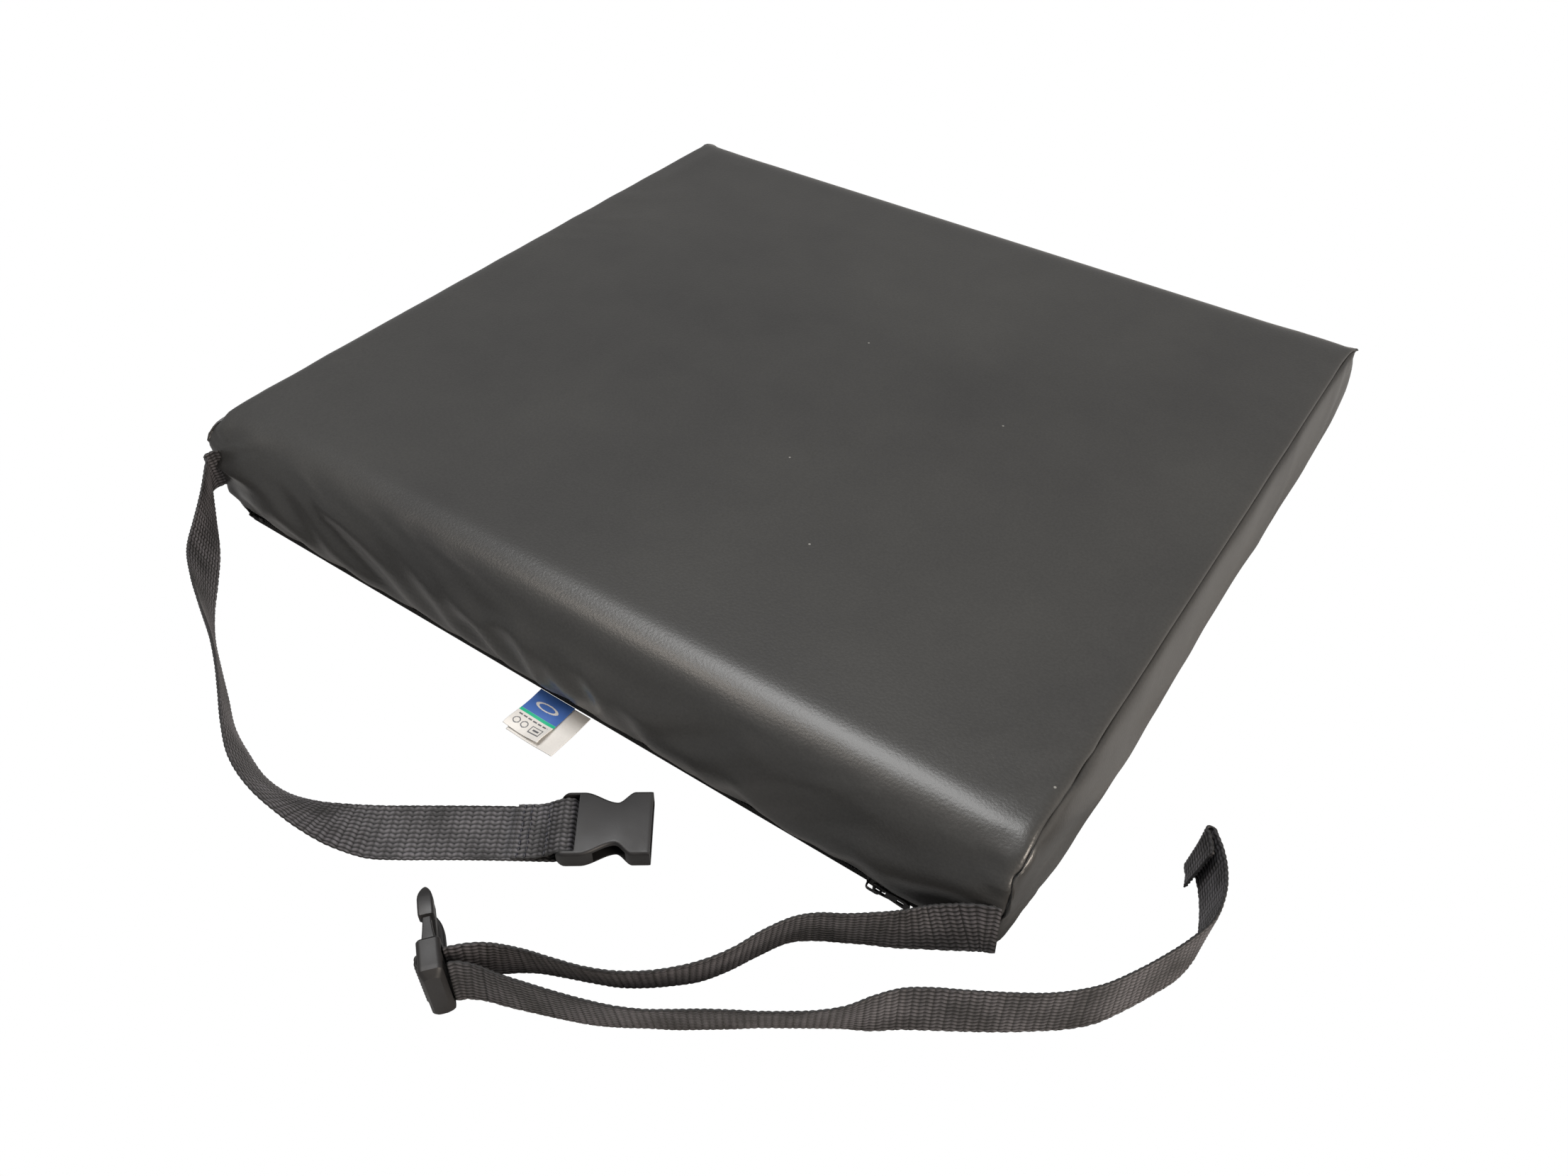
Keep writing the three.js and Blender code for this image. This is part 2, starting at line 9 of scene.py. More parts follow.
import bpy
import numpy as np
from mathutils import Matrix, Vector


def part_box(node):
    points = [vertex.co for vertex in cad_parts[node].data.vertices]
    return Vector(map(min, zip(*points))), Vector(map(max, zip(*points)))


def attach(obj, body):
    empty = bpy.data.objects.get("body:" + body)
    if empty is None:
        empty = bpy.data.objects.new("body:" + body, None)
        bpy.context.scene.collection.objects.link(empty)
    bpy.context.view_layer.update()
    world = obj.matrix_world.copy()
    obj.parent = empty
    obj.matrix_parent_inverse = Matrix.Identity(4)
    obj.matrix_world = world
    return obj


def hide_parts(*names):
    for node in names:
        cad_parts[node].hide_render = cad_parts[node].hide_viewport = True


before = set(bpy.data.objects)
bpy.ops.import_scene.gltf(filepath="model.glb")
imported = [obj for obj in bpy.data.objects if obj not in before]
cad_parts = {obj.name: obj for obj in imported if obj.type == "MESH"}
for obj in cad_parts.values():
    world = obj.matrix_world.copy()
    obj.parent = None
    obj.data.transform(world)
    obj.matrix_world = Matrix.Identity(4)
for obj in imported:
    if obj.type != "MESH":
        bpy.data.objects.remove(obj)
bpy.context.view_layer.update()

# ---------------------------------------------------------------- camera
# A wide lens above the rear right corner, looking down on the top and the strapped face.

camera_data = bpy.data.cameras.new("camera")
camera_data.lens = 27.4
camera_data.sensor_width = 36.0
camera_data.sensor_fit = "HORIZONTAL"
camera = bpy.data.objects.new("camera", camera_data)
camera.location = (0.26784, -0.42332, 0.38420)
camera.rotation_euler = [math.radians(a) for a in (46.325, -0.869, 34.69)]
bpy.context.scene.collection.objects.link(camera)
bpy.context.scene.camera = camera

# ---------------------------------------------------------------- straps
# Two lengths of 25 mm polypropylene webbing, woven on a narrow loom from chunky cords that lean one way
# and then the other, so that the face reads as chevrons. Each is sewn into a rear corner seam. The left
# one ends on the buckle's socket half. The right one turns round the plug half and runs on as the tail.

STRAP_WIDTH = 25.0
STRAP_THICKNESS = 1.6
CORD_PITCH = STRAP_WIDTH / 12
FLOAT_LENGTH = 2.3  # of one cord's stretch on the face
FLOAT_LEAN = 0.75  # sideways, over that length
RELIEF = 0.55  # depth of the hollows between cords
ALONG_STEP = 0.5
FACE_POINTS = 73  # across one face of the webbing

# Middle of the webbing in millimetres, then its lean in degrees from standing on edge.
LEFT_ROUTE = [
    (-205.2, -199.2, 27.8, 14), (-207.6, -203.2, 27.6, 14), (-207.8, -206.8, 27.0, 13),
    (-204.5, -210.4, 25.8, 11), (-194.4, -220.1, 20.4, 2), (-183.4, -230.7, 15.9, -9),
    (-171.2, -242.5, 13.6, -14), (-156.3, -253.5, 13.0, -6), (-139.9, -263.4, 12.7, 2),
    (-122.7, -272.1, 12.7, 6), (-106.5, -280.9, 12.7, 5), (-91.1, -289.9, 12.7, 2),
    (-75.9, -297.2, 12.6, -9), (-60.3, -303.2, 12.0, -21), (-44.1, -305.0, 11.0, -34),
    (-29.3, -302.5, 8.3, -52), (-16.9, -297.8, 4.8, -72), (-6.3, -291.5, 1.6, -87),
    (3.3, -284.8, 1.0, -90), (12.8, -278.1, 1.0, -90), (22.2, -271.5, 1.0, -90),
    (32.1, -264.7, 1.0, -90), (41.2, -258.6, 1.0, -90), (49.5, -253.1, 1.0, -90),
    (56.0, -248.4, 1.0, -90),
]
RIGHT_ROUTE = [
    (211.0, -202.6, 19.0, -6), (205.0, -205.2, 18.7, -7), (198.0, -208.3, 16.6, -7),
    (189.5, -212.6, 13.9, -5), (181.5, -218.0, 12.6, 0), (173.5, -223.4, 12.6, 5),
    (165.5, -228.8, 12.6, 8), (157.2, -234.0, 12.6, 9), (150.4, -240.4, 12.6, 11),
    (144.9, -250.4, 12.6, 11), (140.2, -261.0, 12.5, 13), (134.6, -270.0, 12.4, 14),
    (128.0, -277.2, 12.4, 16), (120.9, -283.4, 12.3, 17), (113.0, -288.8, 12.3, 17),
    (104.2, -293.0, 12.3, 17), (94.8, -296.7, 12.4, 15), (85.8, -300.4, 12.6, 12),
    (77.4, -305.6, 13.2, 7), (70.6, -312.0, 14.2, 2), (65.2, -318.4, 14.4, 0),
]
TAIL_ROUTE = [
    (70.0, -321.6, 14.4, 0), (72.9, -318.9, 14.2, 0), (78.3, -316.0, 13.5, -1),
    (85.4, -313.6, 12.9, -3), (94.8, -310.2, 12.7, -5), (104.3, -306.7, 12.6, -7),
    (113.4, -303.0, 12.5, -9), (122.0, -298.8, 12.5, -12), (130.0, -294.0, 12.4, -14),
    (137.8, -288.9, 12.4, -13), (145.3, -283.5, 12.4, -13), (152.9, -278.2, 12.4, -14),
    (160.5, -272.9, 12.4, -16), (168.1, -267.6, 12.4, -16), (175.7, -262.1, 12.4, -15),
    (183.0, -256.2, 12.5, -11), (189.8, -249.8, 12.6, -1), (196.6, -243.2, 12.6, 4),
    (204.4, -237.7, 12.6, 5), (212.3, -232.8, 12.6, 4), (220.2, -227.8, 12.6, 3),
    (228.0, -222.6, 12.6, 2), (235.6, -217.1, 12.6, 1), (243.0, -210.9, 12.6, 2),
    (250.0, -203.4, 12.6, 3), (256.0, -193.8, 12.6, 3), (261.7, -183.0, 12.6, 3),
    (266.9, -171.3, 12.6, 3), (269.6, -159.0, 12.6, -2), (268.0, -147.4, 12.6, -7),
    (264.8, -137.8, 12.5, -8), (260.9, -130.4, 12.5, -7), (256.3, -124.5, 12.5, -6),
]


def linear(srgb):
    """Linear colour of an sRGB hex value: the sRGB curve, channel by channel."""
    channels = [int(srgb[i : i + 2], 16) / 255 for i in (0, 2, 4)]
    return (*[c / 12.92 if c < 0.04045 else ((c + 0.055) / 1.055) ** 2.4 for c in channels], 1.0)


def finish(name):
    """A new material, and the principled shader that it starts with."""
    material = bpy.data.materials.new(name)
    material.use_nodes = True
    return material, material.node_tree.nodes["Principled BSDF"]


def set_sockets(material, node, values=(), links=()):
    """Give a node's sockets their values and links, by name or number."""
    for socket, value in dict(values).items():
        node.inputs[socket].default_value = value
    for socket, output in dict(links).items():
        material.node_tree.links.new(output, node.inputs[socket])


def add_node(material, kind, settings=(), values=(), links=()):
    """Add a shader node: its own settings, then the values and links of its sockets."""
    node = material.node_tree.nodes.new("ShaderNode" + kind)
    for name, value in dict(settings).items():
        setattr(node, name, value)
    set_sockets(material, node, values, links)
    return node


def pattern(material, kind, place, scale, settings=(), **values):
    """A pattern read at a place, its scale in repeats to a metre."""
    return add_node(material, kind, settings, {"Scale": scale, **values}, {"Vector": place})


def colour_ramp(material, value, *stops):
    """The colour that a value picks between two stops, each a position and a linear colour."""
    node = add_node(material, "ValToRGB", {}, {}, {"Fac": value})
    for element, (position, colour) in zip(node.color_ramp.elements, stops):
        element.position, element.color = position, colour
    return node.outputs["Color"]


def bump(material, height, strength, distance):
    """The normal of a fine relief, from its height, its strength and its depth in metres."""
    node = add_node(material, "Bump", {}, {"Strength": strength, "Distance": distance}, {"Height": height})
    return node.outputs["Normal"]


def put(name, data):
    """A new object in the scene."""
    thing = bpy.data.objects.new(name, data)
    bpy.context.scene.collection.objects.link(thing)
    return thing


FLIPPED = [0, 3, 2, 1]  # a quad's corners, to face it the other way


def grid_quads(number):
    """Quads between the points of a grid, from the grid of their numbers."""
    return np.stack([number[:-1, :-1], number[1:, :-1], number[1:, 1:], number[:-1, 1:]], -1).reshape(-1, 4)


def make_piece(name, points, faces, material, slot, uv=None, smooth=True, **fields):
    """An object at the origin from points in millimetres, with a UV map and float fields on its points."""
    mesh = bpy.data.meshes.new(name)
    points = np.asarray(points, float).reshape(-1, 3)
    mesh.from_pydata((points / 1000).tolist(), [], faces if isinstance(faces, list) else faces.tolist())
    if uv is not None:
        corners = np.empty(len(mesh.loops), int)
        mesh.loops.foreach_get("vertex_index", corners)
        mesh.uv_layers.new(name="UVMap").data.foreach_set("uv", np.asarray(uv, float)[corners].ravel())
    for field, values in fields.items():
        mesh.attributes.new(field, "FLOAT", "POINT").data.foreach_set("value", np.ravel(values))
    mesh.polygons.foreach_set("use_smooth", [smooth] * len(mesh.polygons))
    mesh.materials.append(material)
    mesh.update()
    piece = put(name, mesh)
    return piece


def smooth_path(stations, step):
    """A smooth curve through the stations, cut at even steps of length: between two stations runs the
    cubic whose slope at each one is half the way from the station before it to the one after."""
    p = np.asarray(stations, float)
    p = np.vstack([2 * p[0] - p[1], p, 2 * p[-1] - p[-2]])
    t = np.linspace(0, 1, 24, endpoint=False)[None, :, None]
    a, b, c, d = (p[i : len(p) - 3 + i, None] for i in range(4))
    dense = b + 0.5 * t * (c - a + t * (2 * a - 5 * b + 4 * c - d + t * (3 * (b - c) + d - a)))
    dense = np.vstack([dense.reshape(-1, p.shape[1]), p[-2]])
    length = np.concatenate([[0], np.cumsum(np.linalg.norm(np.diff(dense[:, :3], axis=0), axis=1))])
    at = np.linspace(0, length[-1], max(4, round(length[-1] / step)) + 1)
    return at, np.stack([np.interp(at, length, column) for column in dense.T], axis=1)


def unit(v):
    """Vectors brought to a length of one."""
    return v / np.linalg.norm(v, axis=-1, keepdims=True)


def weave(along, across):
    """Height of the webbing's face, 0 to 1. Cords lie side by side across it. Each is a chain of floats
    that lean to one side and then the other, and it dips at the end of each float."""
    lean = np.abs((along / FLOAT_LENGTH) % 2 - 1)
    cord = np.abs(np.cos(np.pi * (across + FLOAT_LEAN * lean) / CORD_PITCH))
    joint = np.abs(np.sin(np.pi * along / FLOAT_LENGTH))
    return cord**0.8 * (0.25 + 0.75 * joint**0.6)


def tube_faces(rings, points, closed=True):
    """Quads between each ring of points and the next, with the two end rings closed flat."""
    a = np.arange(rings - 1)[:, None] * points + np.arange(points)[None, :]
    b = np.arange(rings - 1)[:, None] * points + (np.arange(points)[None, :] + 1) % points
    quads = np.stack([a, b, b + points, a + points], axis=-1).reshape(-1, 4).tolist()
    if closed:
        quads += [list(range(points - 1, -1, -1)), list(range((rings - 1) * points, rings * points))]
    return quads


def webbing(name, stations):
    """A woven strip along the stations: at each step of its length, a flat section with rounded selvedges,
    turned by the lean, and raised by the weave on both faces."""
    along, path = smooth_path(stations, ALONG_STEP)
    middle = path[:, :3]
    lean = np.radians(path[:, 3])[:, None]
    run = unit(np.gradient(middle, axis=0))
    left = unit(np.cross([0.0, 0.0, 1.0], run))
    rise = np.cross(run, left)
    across = np.cos(lean) * rise + np.sin(lean) * left
    face = np.cross(run, across)
    a = np.linspace(1, -1, FACE_POINTS)
    a = np.sign(a) * (1 - (1 - np.abs(a)) ** 1.04)
    half = np.sqrt(1 - np.abs(a) ** 26)
    ring_a = np.concatenate([a, a[-2:0:-1]])
    side = np.concatenate([np.ones(len(a)), -np.ones(len(a) - 2)])
    ring_h = np.concatenate([half, half[-2:0:-1]])
    height = weave(along[:, None], ring_a[None, :] * STRAP_WIDTH / 2)
    depth = (STRAP_THICKNESS / 2 - RELIEF * (1 - height)) * ring_h
    edge = (0.35 * (weave(along[:, None], 0 * ring_a[None, :]) - 1)) * np.abs(ring_a) ** 30
    points = (
        middle[:, None]
        + across[:, None] * (ring_a[None, :] * STRAP_WIDTH / 2 * (1 + edge / 12))[..., None]
        + face[:, None] * (side * depth)[..., None]
    )
    uv = np.stack(np.broadcast_arrays(along[:, None], ring_a * STRAP_WIDTH / 2), axis=-1) / 100
    faces = tube_faces(len(along), len(ring_a))
    # The relief field on the points is the weave's height; the material reads it to paint shade into the
    # hollows.
    piece = make_piece(
        name, points, faces, WEBBING_YARN, "webbing", uv=uv.reshape(-1, 2), relief=height * ring_h
    )
    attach(piece, "cushion")
    return piece, middle


# Spun-dyed polypropylene: many fine filaments with a low waxy sheen. Its colour carries painted shade: near
# black in the hollows of the weave, where shade falls, and charcoal grey on the crowns of the cords.
WEBBING_YARN, shader = finish("spun_dyed_polypropylene_webbing")
relief = add_node(WEBBING_YARN, "Attribute", {"attribute_name": "relief"})
here = add_node(WEBBING_YARN, "TexCoord").outputs["Object"]
# The yarn's tone drifts over 17 mm, and its filaments, too fine to show, are drawn 0.385 mm wide.
drift = pattern(WEBBING_YARN, "TexNoise", here, 60, Detail=3.0)
# Painted shade: the weave's relief, times the yarn's drift, picks the colour, so the hollows are painted near
# black.
hollow_shade_and_drift = add_node(
    WEBBING_YARN, "Math", {"operation": "MULTIPLY"}, {}, {0: relief.outputs["Fac"], 1: drift.outputs["Fac"]}
)
tone = colour_ramp(WEBBING_YARN, hollow_shade_and_drift.outputs[0], (0.16, linear("0c0b0c")), (0.56, linear("5a585c")))
filaments = pattern(WEBBING_YARN, "TexNoise", here, 2600, Detail=2.0)
fuzz = bump(WEBBING_YARN, filaments.outputs["Fac"], 0.5, 0.00012)
set_sockets(
    WEBBING_YARN,
    shader,
    {"Roughness": 0.6, "IOR": 1.49, "Sheen Weight": 0.12, "Sheen Roughness": 0.4},
    {"Base Color": tone, "Normal": fuzz},
)

strap_left, left_line = webbing("left_strap", LEFT_ROUTE)
strap_right, right_line = webbing("right_strap", RIGHT_ROUTE)
strap_tail, tail_line = webbing("strap_tail_end", TAIL_ROUTE)
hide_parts("strap_left")
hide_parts("strap_right")
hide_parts("strap_tail")

# ---------------------------------------------------------------- cushion cover
# A boxed cover of coated stretch knit over a block of foam. One wrap panel makes the rear face, the top
# and the front, a gusset is sewn in at each side, and a base panel closes it. The cloth has a little
# slack, which gathers in soft folds in the lower half of the rear face.

HALF_WIDTH = 210.0
HALF_DEPTH = 201.0
HEIGHT = 52.5
TOP_ROLL = 24.0
BASE_ROLL = 1.6
DOME = 5.0  # how far the foam pushes each gusset out
CLOTH = 0.8
ZIP_FOOT = 1.6  # height of the base panel's edge on the rear face
ZIP_HEAD = 8.3  # height of the wrap panel's lower edge
SLACK = 0.012  # extra length in the cloth
MOST_MOVE = 8.0  # of a point of the cloth as it settles
DRAPE_FRAMES = 22
CONTACT = 0.0012  # metres kept between cloth and foam as it settles

# Stations up a side, in millimetres along the section from the middle of its lower corner's roll: the
# second lies on the base panel's edge and the fourth on the wrap's.
LOW_ARC = BASE_ROLL * math.pi / 4
RISE = HEIGHT - TOP_ROLL - BASE_ROLL
SIDE_LENGTH = LOW_ARC + RISE + TOP_ROLL * math.pi / 4
ABOVE_ZIP = [11, 14.5, 18.5, 23, 28, 32.5, 37, 41, 44.5]
UP_SIDE = np.array([0, LOW_ARC, 4.6, LOW_ARC + ZIP_HEAD - ZIP_FOOT] + ABOVE_ZIP)
UP_SIDE = np.append(UP_SIDE, SIDE_LENGTH) / SIDE_LENGTH
ACROSS = np.concatenate([[0, 0.003, 0.010], np.linspace(0.022, 0.978, 81), [0.990, 0.997, 1]])
ROWS_UP = len(UP_SIDE) - 1
ROWS_DEEP = len(ACROSS) - 1


def spread(points, fractions):
    """Points at the given fractions of the length of a line of points."""
    length = np.concatenate([[0], np.cumsum(np.linalg.norm(np.diff(points, axis=0), axis=1))])
    return np.stack([np.interp(fractions * length[-1], length, c) for c in points.T], axis=1)


def roll(y, z, radius, start, end):
    """Points on an arc about (y, z), from one angle to another in degrees."""
    angle = np.radians(np.linspace(start, end, 12))
    return np.stack([y + radius * np.cos(angle), z + radius * np.sin(angle)], axis=1)


def section_strips(inset):
    """The cushion's section, drawn in by `inset`, as four lines of points from roll to roll: up the
    rear, over the top, down the front and back along the base. Each is half a roll, a straight and
    half a roll, cut at the stations above."""
    top = TOP_ROLL - inset
    low = max(BASE_ROLL - inset, 1.0)
    y = HALF_DEPTH - inset
    rear_low = (-y + low, inset + low, low)
    rear_top = (-y + top, HEIGHT - inset - top, top)
    front_top = (y - top, HEIGHT - inset - top, top)
    front_low = (y - low, inset + low, low)
    rear = spread(np.vstack([roll(*rear_low, 225, 180), roll(*rear_top, 180, 135)]), UP_SIDE)
    over = spread(np.vstack([roll(*rear_top, 135, 90), roll(*front_top, 90, 45)]), ACROSS)
    front = spread(np.vstack([roll(*front_top, 45, 0), roll(*front_low, 0, -45)]), 1 - UP_SIDE[::-1])
    base = spread(np.vstack([roll(*front_low, -45, -90), roll(*rear_low, 270, 225)]), ACROSS)
    return rear, over, front, base


def patch(strips):
    """The side face that a section encloses, as rows from rear to front and from base to top: the
    straight blend between opposite edges, both ways, less the straight blend between the corners."""
    rear, over, front, base = strips
    u = ACROSS[:, None, None]
    v = UP_SIDE[None, :, None]
    low, high = base[::-1][:, None], over[:, None]
    near, far = rear[None], front[::-1][None]
    corners = (1 - u) * ((1 - v) * rear[0] + v * rear[-1]) + u * ((1 - v) * front[-1] + v * front[0])
    return (1 - v) * low + v * high + (1 - u) * near + u * far - corners


def box_surface(inset, dome):
    """The whole closed cover as points and quads: the section carried across the width, and a domed
    patch at each side. Also the number of the ring's points and the patch's point numbers."""
    strips = section_strips(inset)
    ring = np.vstack([s[:-1] for s in strips])
    count, columns = len(ring), len(ACROSS)
    x = (2 * ACROSS - 1) * (HALF_WIDTH - inset)
    points = np.empty((count, columns, 3))
    points[..., 0] = x
    points[..., 1:] = ring[:, None]
    side = patch(strips)
    swell = (1 - np.abs(2 * UP_SIDE - 1) ** 2.4)[None, :] * (1 - np.abs(2 * ACROSS - 1) ** 16)[:, None]
    n = np.full(side.shape[:2], -1)
    n[0] = np.arange(ROWS_UP + 1)
    n[:, -1] = ROWS_UP + np.arange(ROWS_DEEP + 1)
    n[-1] = ROWS_UP + ROWS_DEEP + np.arange(ROWS_UP + 1)[::-1]
    n[:, 0] = (2 * ROWS_UP + ROWS_DEEP + np.arange(ROWS_DEEP + 1)[::-1]) % count
    free = n < 0
    everything, numbers = [points.reshape(-1, 3)], []
    for hand, column in ((-1, 0), (1, columns - 1)):
        number = np.where(free, 0, n * columns + column)
        number[free] = sum(len(p) for p in everything) + np.arange(free.sum())
        out = hand * (HALF_WIDTH - inset + dome * swell)
        everything.append(np.dstack([out, side])[free])
        numbers.append(number)
    wrap = np.arange(count * columns).reshape(count, columns)
    quads = [grid_quads(np.vstack([wrap, wrap[:1]]))[:, FLIPPED]]
    for number, turn in zip(numbers, (slice(None, None, -1), slice(None))):
        quads.append(grid_quads(number)[:, turn])
    return np.vstack(everything), np.vstack(quads), count, numbers


# Folds in the rear face: where each starts, bends and ends, as x and height, then its width and depth.
FOLDS = (
    ((-68, 33), (-52, 28), (-42, 13), 3.2, 2.2),
    ((-46, 30), (-26, 30), (-13, 8), 3.6, 3.0),
    ((-10, 35), (0, 22), (8, 5), 4.2, 2.6),
    ((8, 31), (16, 21), (22, 8), 3.4, 2.0),
    ((28, 35), (36, 27), (39, 10), 3.8, 2.4),
    ((50, 31), (58, 20), (66, 8), 4.5, 1.5),
    ((-190, 33), (-177, 20), (-160, 7), 5.5, 2.2),
    ((-168, 33), (-148, 22), (-124, 8), 6.0, 2.4),
    ((-140, 30), (-118, 20), (-92, 9), 7.0, 1.5),
    ((100, 27), (118, 17), (134, 8), 6.0, 1.5),
    ((150, 30), (164, 18), (176, 7), 6.0, 1.8),
)


def fold_height(x, z):
    """How far folds push a face out at (x, z): along each one, a curved ridge with a bell section that
    fades at both ends, and a shallower hollow on the side below it."""
    total = np.zeros_like(x)
    for start, bend, end, width, height in FOLDS:
        t = np.linspace(0, 1, 40)[:, None]
        line = (1 - t) ** 2 * np.array(start) + 2 * t * (1 - t) * np.array(bend) + t**2 * np.array(end)
        gap = np.hypot(x[..., None] - line[:, 0], z[..., None] - line[:, 1])
        nearest = gap.argmin(-1)
        side = np.sign(x - line[nearest, 0])
        fade = np.sin(np.pi * (0.08 + 0.88 * nearest / 39)) ** 0.7
        offset = side * gap.min(-1) / width
        total += height * fade * (np.exp(-(offset**2)) - 0.6 * np.exp(-((offset + 1.7) ** 2)))
    return total


def waves(u, v, seed, longest, count=9):
    """A soft uneven surface, about -1 to 1: sine waves in seeded directions, the longest first."""
    random = np.random.default_rng(seed)
    total = np.zeros_like(u)
    for k in range(count):
        turn, phase = random.uniform(0, 2 * np.pi, 2)
        wave = longest * 0.78**k
        total += 0.8**k * np.sin(2 * np.pi * (u * np.cos(turn) + v * np.sin(turn)) / wave + phase)
    return total / 2.6


def ease(t):
    """From 0 to 1 as t goes from 0 to 1, starting and ending level."""
    t = np.clip(t, 0, 1)
    return t * t * (3 - 2 * t)


# The cut shape: folds low on the rear face, a low crown on the top, uneven sides.
cover, cover_quads, ring_count, side_numbers = box_surface(0, DOME)
columns = len(ACROSS)
wrap_points = ring_count * columns
x, y, z = cover.T
on_rear = ease((-y - HALF_DEPTH + 14) / 12) * ease((z - ZIP_HEAD) / 5)
on_rear = on_rear * ease((HALF_WIDTH + 3 - np.abs(x)) / 18)
cover[:, 1] -= on_rear * (fold_height(x, z) + 0.8 * waves(x, 2 * z, 5, 150))
on_top = ease((z - HEIGHT + 16) / 12)
crown = (1 - (y / HALF_DEPTH) ** 4) * (1 - (x / HALF_WIDTH) ** 4)
cover[:, 2] += on_top * (0.5 * waves(x, y, 8, 240) + crown)
on_side = ease((np.abs(x) - HALF_WIDTH + 1) / 3)
cover[:, 0] += np.sign(x) * on_side * (waves(y, 2.2 * z + x, 11, 150) + 0.4)

# The lower rear corners are drawn in, the left one further, where the strap's seam pulls on it.
tuck = ease((-y - 120) / 80) * ease((np.abs(x) - 165) / 45)
cover[:, 0] -= np.sign(x) * tuck * ease((24 - z) / 24) * np.where(x < 0, 10.0, 1.5)

# Towards the gussets the rolls grow tight and the corners stand out as small ears.
near_roll = np.clip(1 - (HALF_DEPTH - np.abs(y)) / TOP_ROLL, 0, 1)
near_roll = near_roll * np.clip(1 - (HEIGHT - z) / TOP_ROLL, 0, 1)
ear_size = np.where(y > 0, 10.0, np.where(x < 0, 13.0, 3.5))
ear = near_roll * ease((np.abs(x) - HALF_WIDTH + 50) / 50) * ear_size
cover[:, 0] += np.sign(x) * 0.2 * ear * ease((np.abs(x) - HALF_WIDTH + 20) / 20)
cover[:, 1] += np.sign(y) * 0.6 * ear
cover[:, 2] += 0.75 * ear

# The cloth settles on the foam: both are meshes only for as long as the simulation runs.
scene = bpy.context.scene
foam_start, foam_faces, _, _ = box_surface(2.2, DOME - 1)
meshes = []
for label, points, faces in (
    ("settling_cloth", cover, cover_quads),
    ("settling_foam", foam_start, foam_faces),
):
    mesh = bpy.data.meshes.new(label)
    mesh.from_pydata((points / 1000).tolist(), [], faces.tolist())
    meshes.append(put(label, mesh))
cloth_body, foam_body = meshes
held = cloth_body.vertex_groups.new(name="held")
grip = (z < 3) | ((y < -HALF_DEPTH + 3) & (z < ZIP_HEAD + 0.3))
held.add(np.flatnonzero(grip).tolist(), 1.0, "REPLACE")
foam_body.modifiers.new("body", "COLLISION")
foam_body.collision.thickness_outer = CONTACT
foam_body.collision.cloth_friction = 12.0
drape = cloth_body.modifiers.new("drape", "CLOTH")
drape.settings.quality = 6
drape.settings.mass = 0.12
drape.settings.tension_stiffness = 20
drape.settings.compression_stiffness = 12
drape.settings.shear_stiffness = 6
drape.settings.bending_stiffness = 0.25
drape.settings.air_damping = 2
drape.settings.shrink_min = -SLACK
drape.settings.vertex_group_mass = "held"
drape.collision_settings.distance_min = CONTACT
drape.collision_settings.collision_quality = 3
drape.point_cache.frame_end = DRAPE_FRAMES
for step in range(1, DRAPE_FRAMES + 1):
    scene.frame_set(step)
settled = cloth_body.evaluated_get(bpy.context.evaluated_depsgraph_get()).data
found = np.empty(3 * len(settled.vertices))
settled.vertices.foreach_get("co", found)
move = found.reshape(-1, 3) * 1000 - cover
reach = np.linalg.norm(move, axis=1, keepdims=True)
most = MOST_MOVE * (1 - 0.75 * on_side[:, None])
cover += move * np.minimum(1, most / np.maximum(reach, 1e-6))
cover[:, 2] = np.maximum(cover[:, 2], 0.0)
for thing in meshes:
    bpy.data.objects.remove(thing)
scene.frame_set(1)


def outward(grid):
    """The direction that a grid of points faces: down its columns crossed with along its rows."""
    return -unit(np.cross(np.gradient(grid, axis=0), np.gradient(grid, axis=1)))


# Both panels turn in together at a seam, and the thread gathers the cloth beside it a little.
SEAM_DEPTH = 1.3
GATHER = 0.2
grid = cover[:wrap_points].reshape(ring_count, columns, 3)
ring = np.vstack([grid, grid[:1]])
facing = outward(ring)[:-1]
for column, near, hand in ((0, (1, 2, 3), -1), (columns - 1, (-2, -3, -4), 1)):
    seam = grid[:, column].copy()
    grid[:, column] -= SEAM_DEPTH * facing[:, near[1]] + [0.5 * hand, 0, 0]
    for row, share in zip(near, (0.35, 1.0, 0.7)):
        ripple = waves(seam[:, 1], 1.5 * seam[:, 2], 31 + column, 26)
        grid[:, row] += share * GATHER * ripple[:, None] * facing[:, row]

# Below its middle the rear face hangs out over the zip, and its hem turns in again above the coils.
hang = ease((grid[0, :, 0] + HALF_WIDTH - 12) / 40) * ease((196 - grid[0, :, 0]) / 20)
for row, out in zip(range(3, 9), (2.4, 3.0, 2.8, 2.2, 1.3, 0.5)):
    grid[row, :, 1] -= out * hang
hem = grid[3] + np.array([0, 1, 0]) * (0.6 + 3.2 * hang[:, None]) + [0, 0, 0.25]
cover[:wrap_points] = grid.reshape(-1, 3)


def panel(name, points, material, slot, replaced):
    """One panel of the cover from its grid of points: the cloth's outer face, then its thickness."""
    rows, width = points.shape[:2]
    quads = grid_quads(np.arange(rows * width).reshape(rows, width))[:, FLIPPED]
    down = np.cumsum(np.linalg.norm(np.diff(points, axis=0, prepend=points[:1]), axis=2), axis=0)
    over = np.cumsum(np.linalg.norm(np.diff(points, axis=1, prepend=points[:, :1]), axis=2), axis=1)
    uv = np.stack([over, down], axis=-1).reshape(-1, 2) / 500
    piece = make_piece(name, points, quads, material, slot, uv=uv)
    fine = piece.modifiers.new("fine", "SUBSURF")
    fine.levels = fine.render_levels = 1
    wall = piece.modifiers.new("cloth", "SOLIDIFY")
    wall.thickness = CLOTH / 1000
    wall.offset = -1
    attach(piece, "cushion")
    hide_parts(replaced)
    return piece


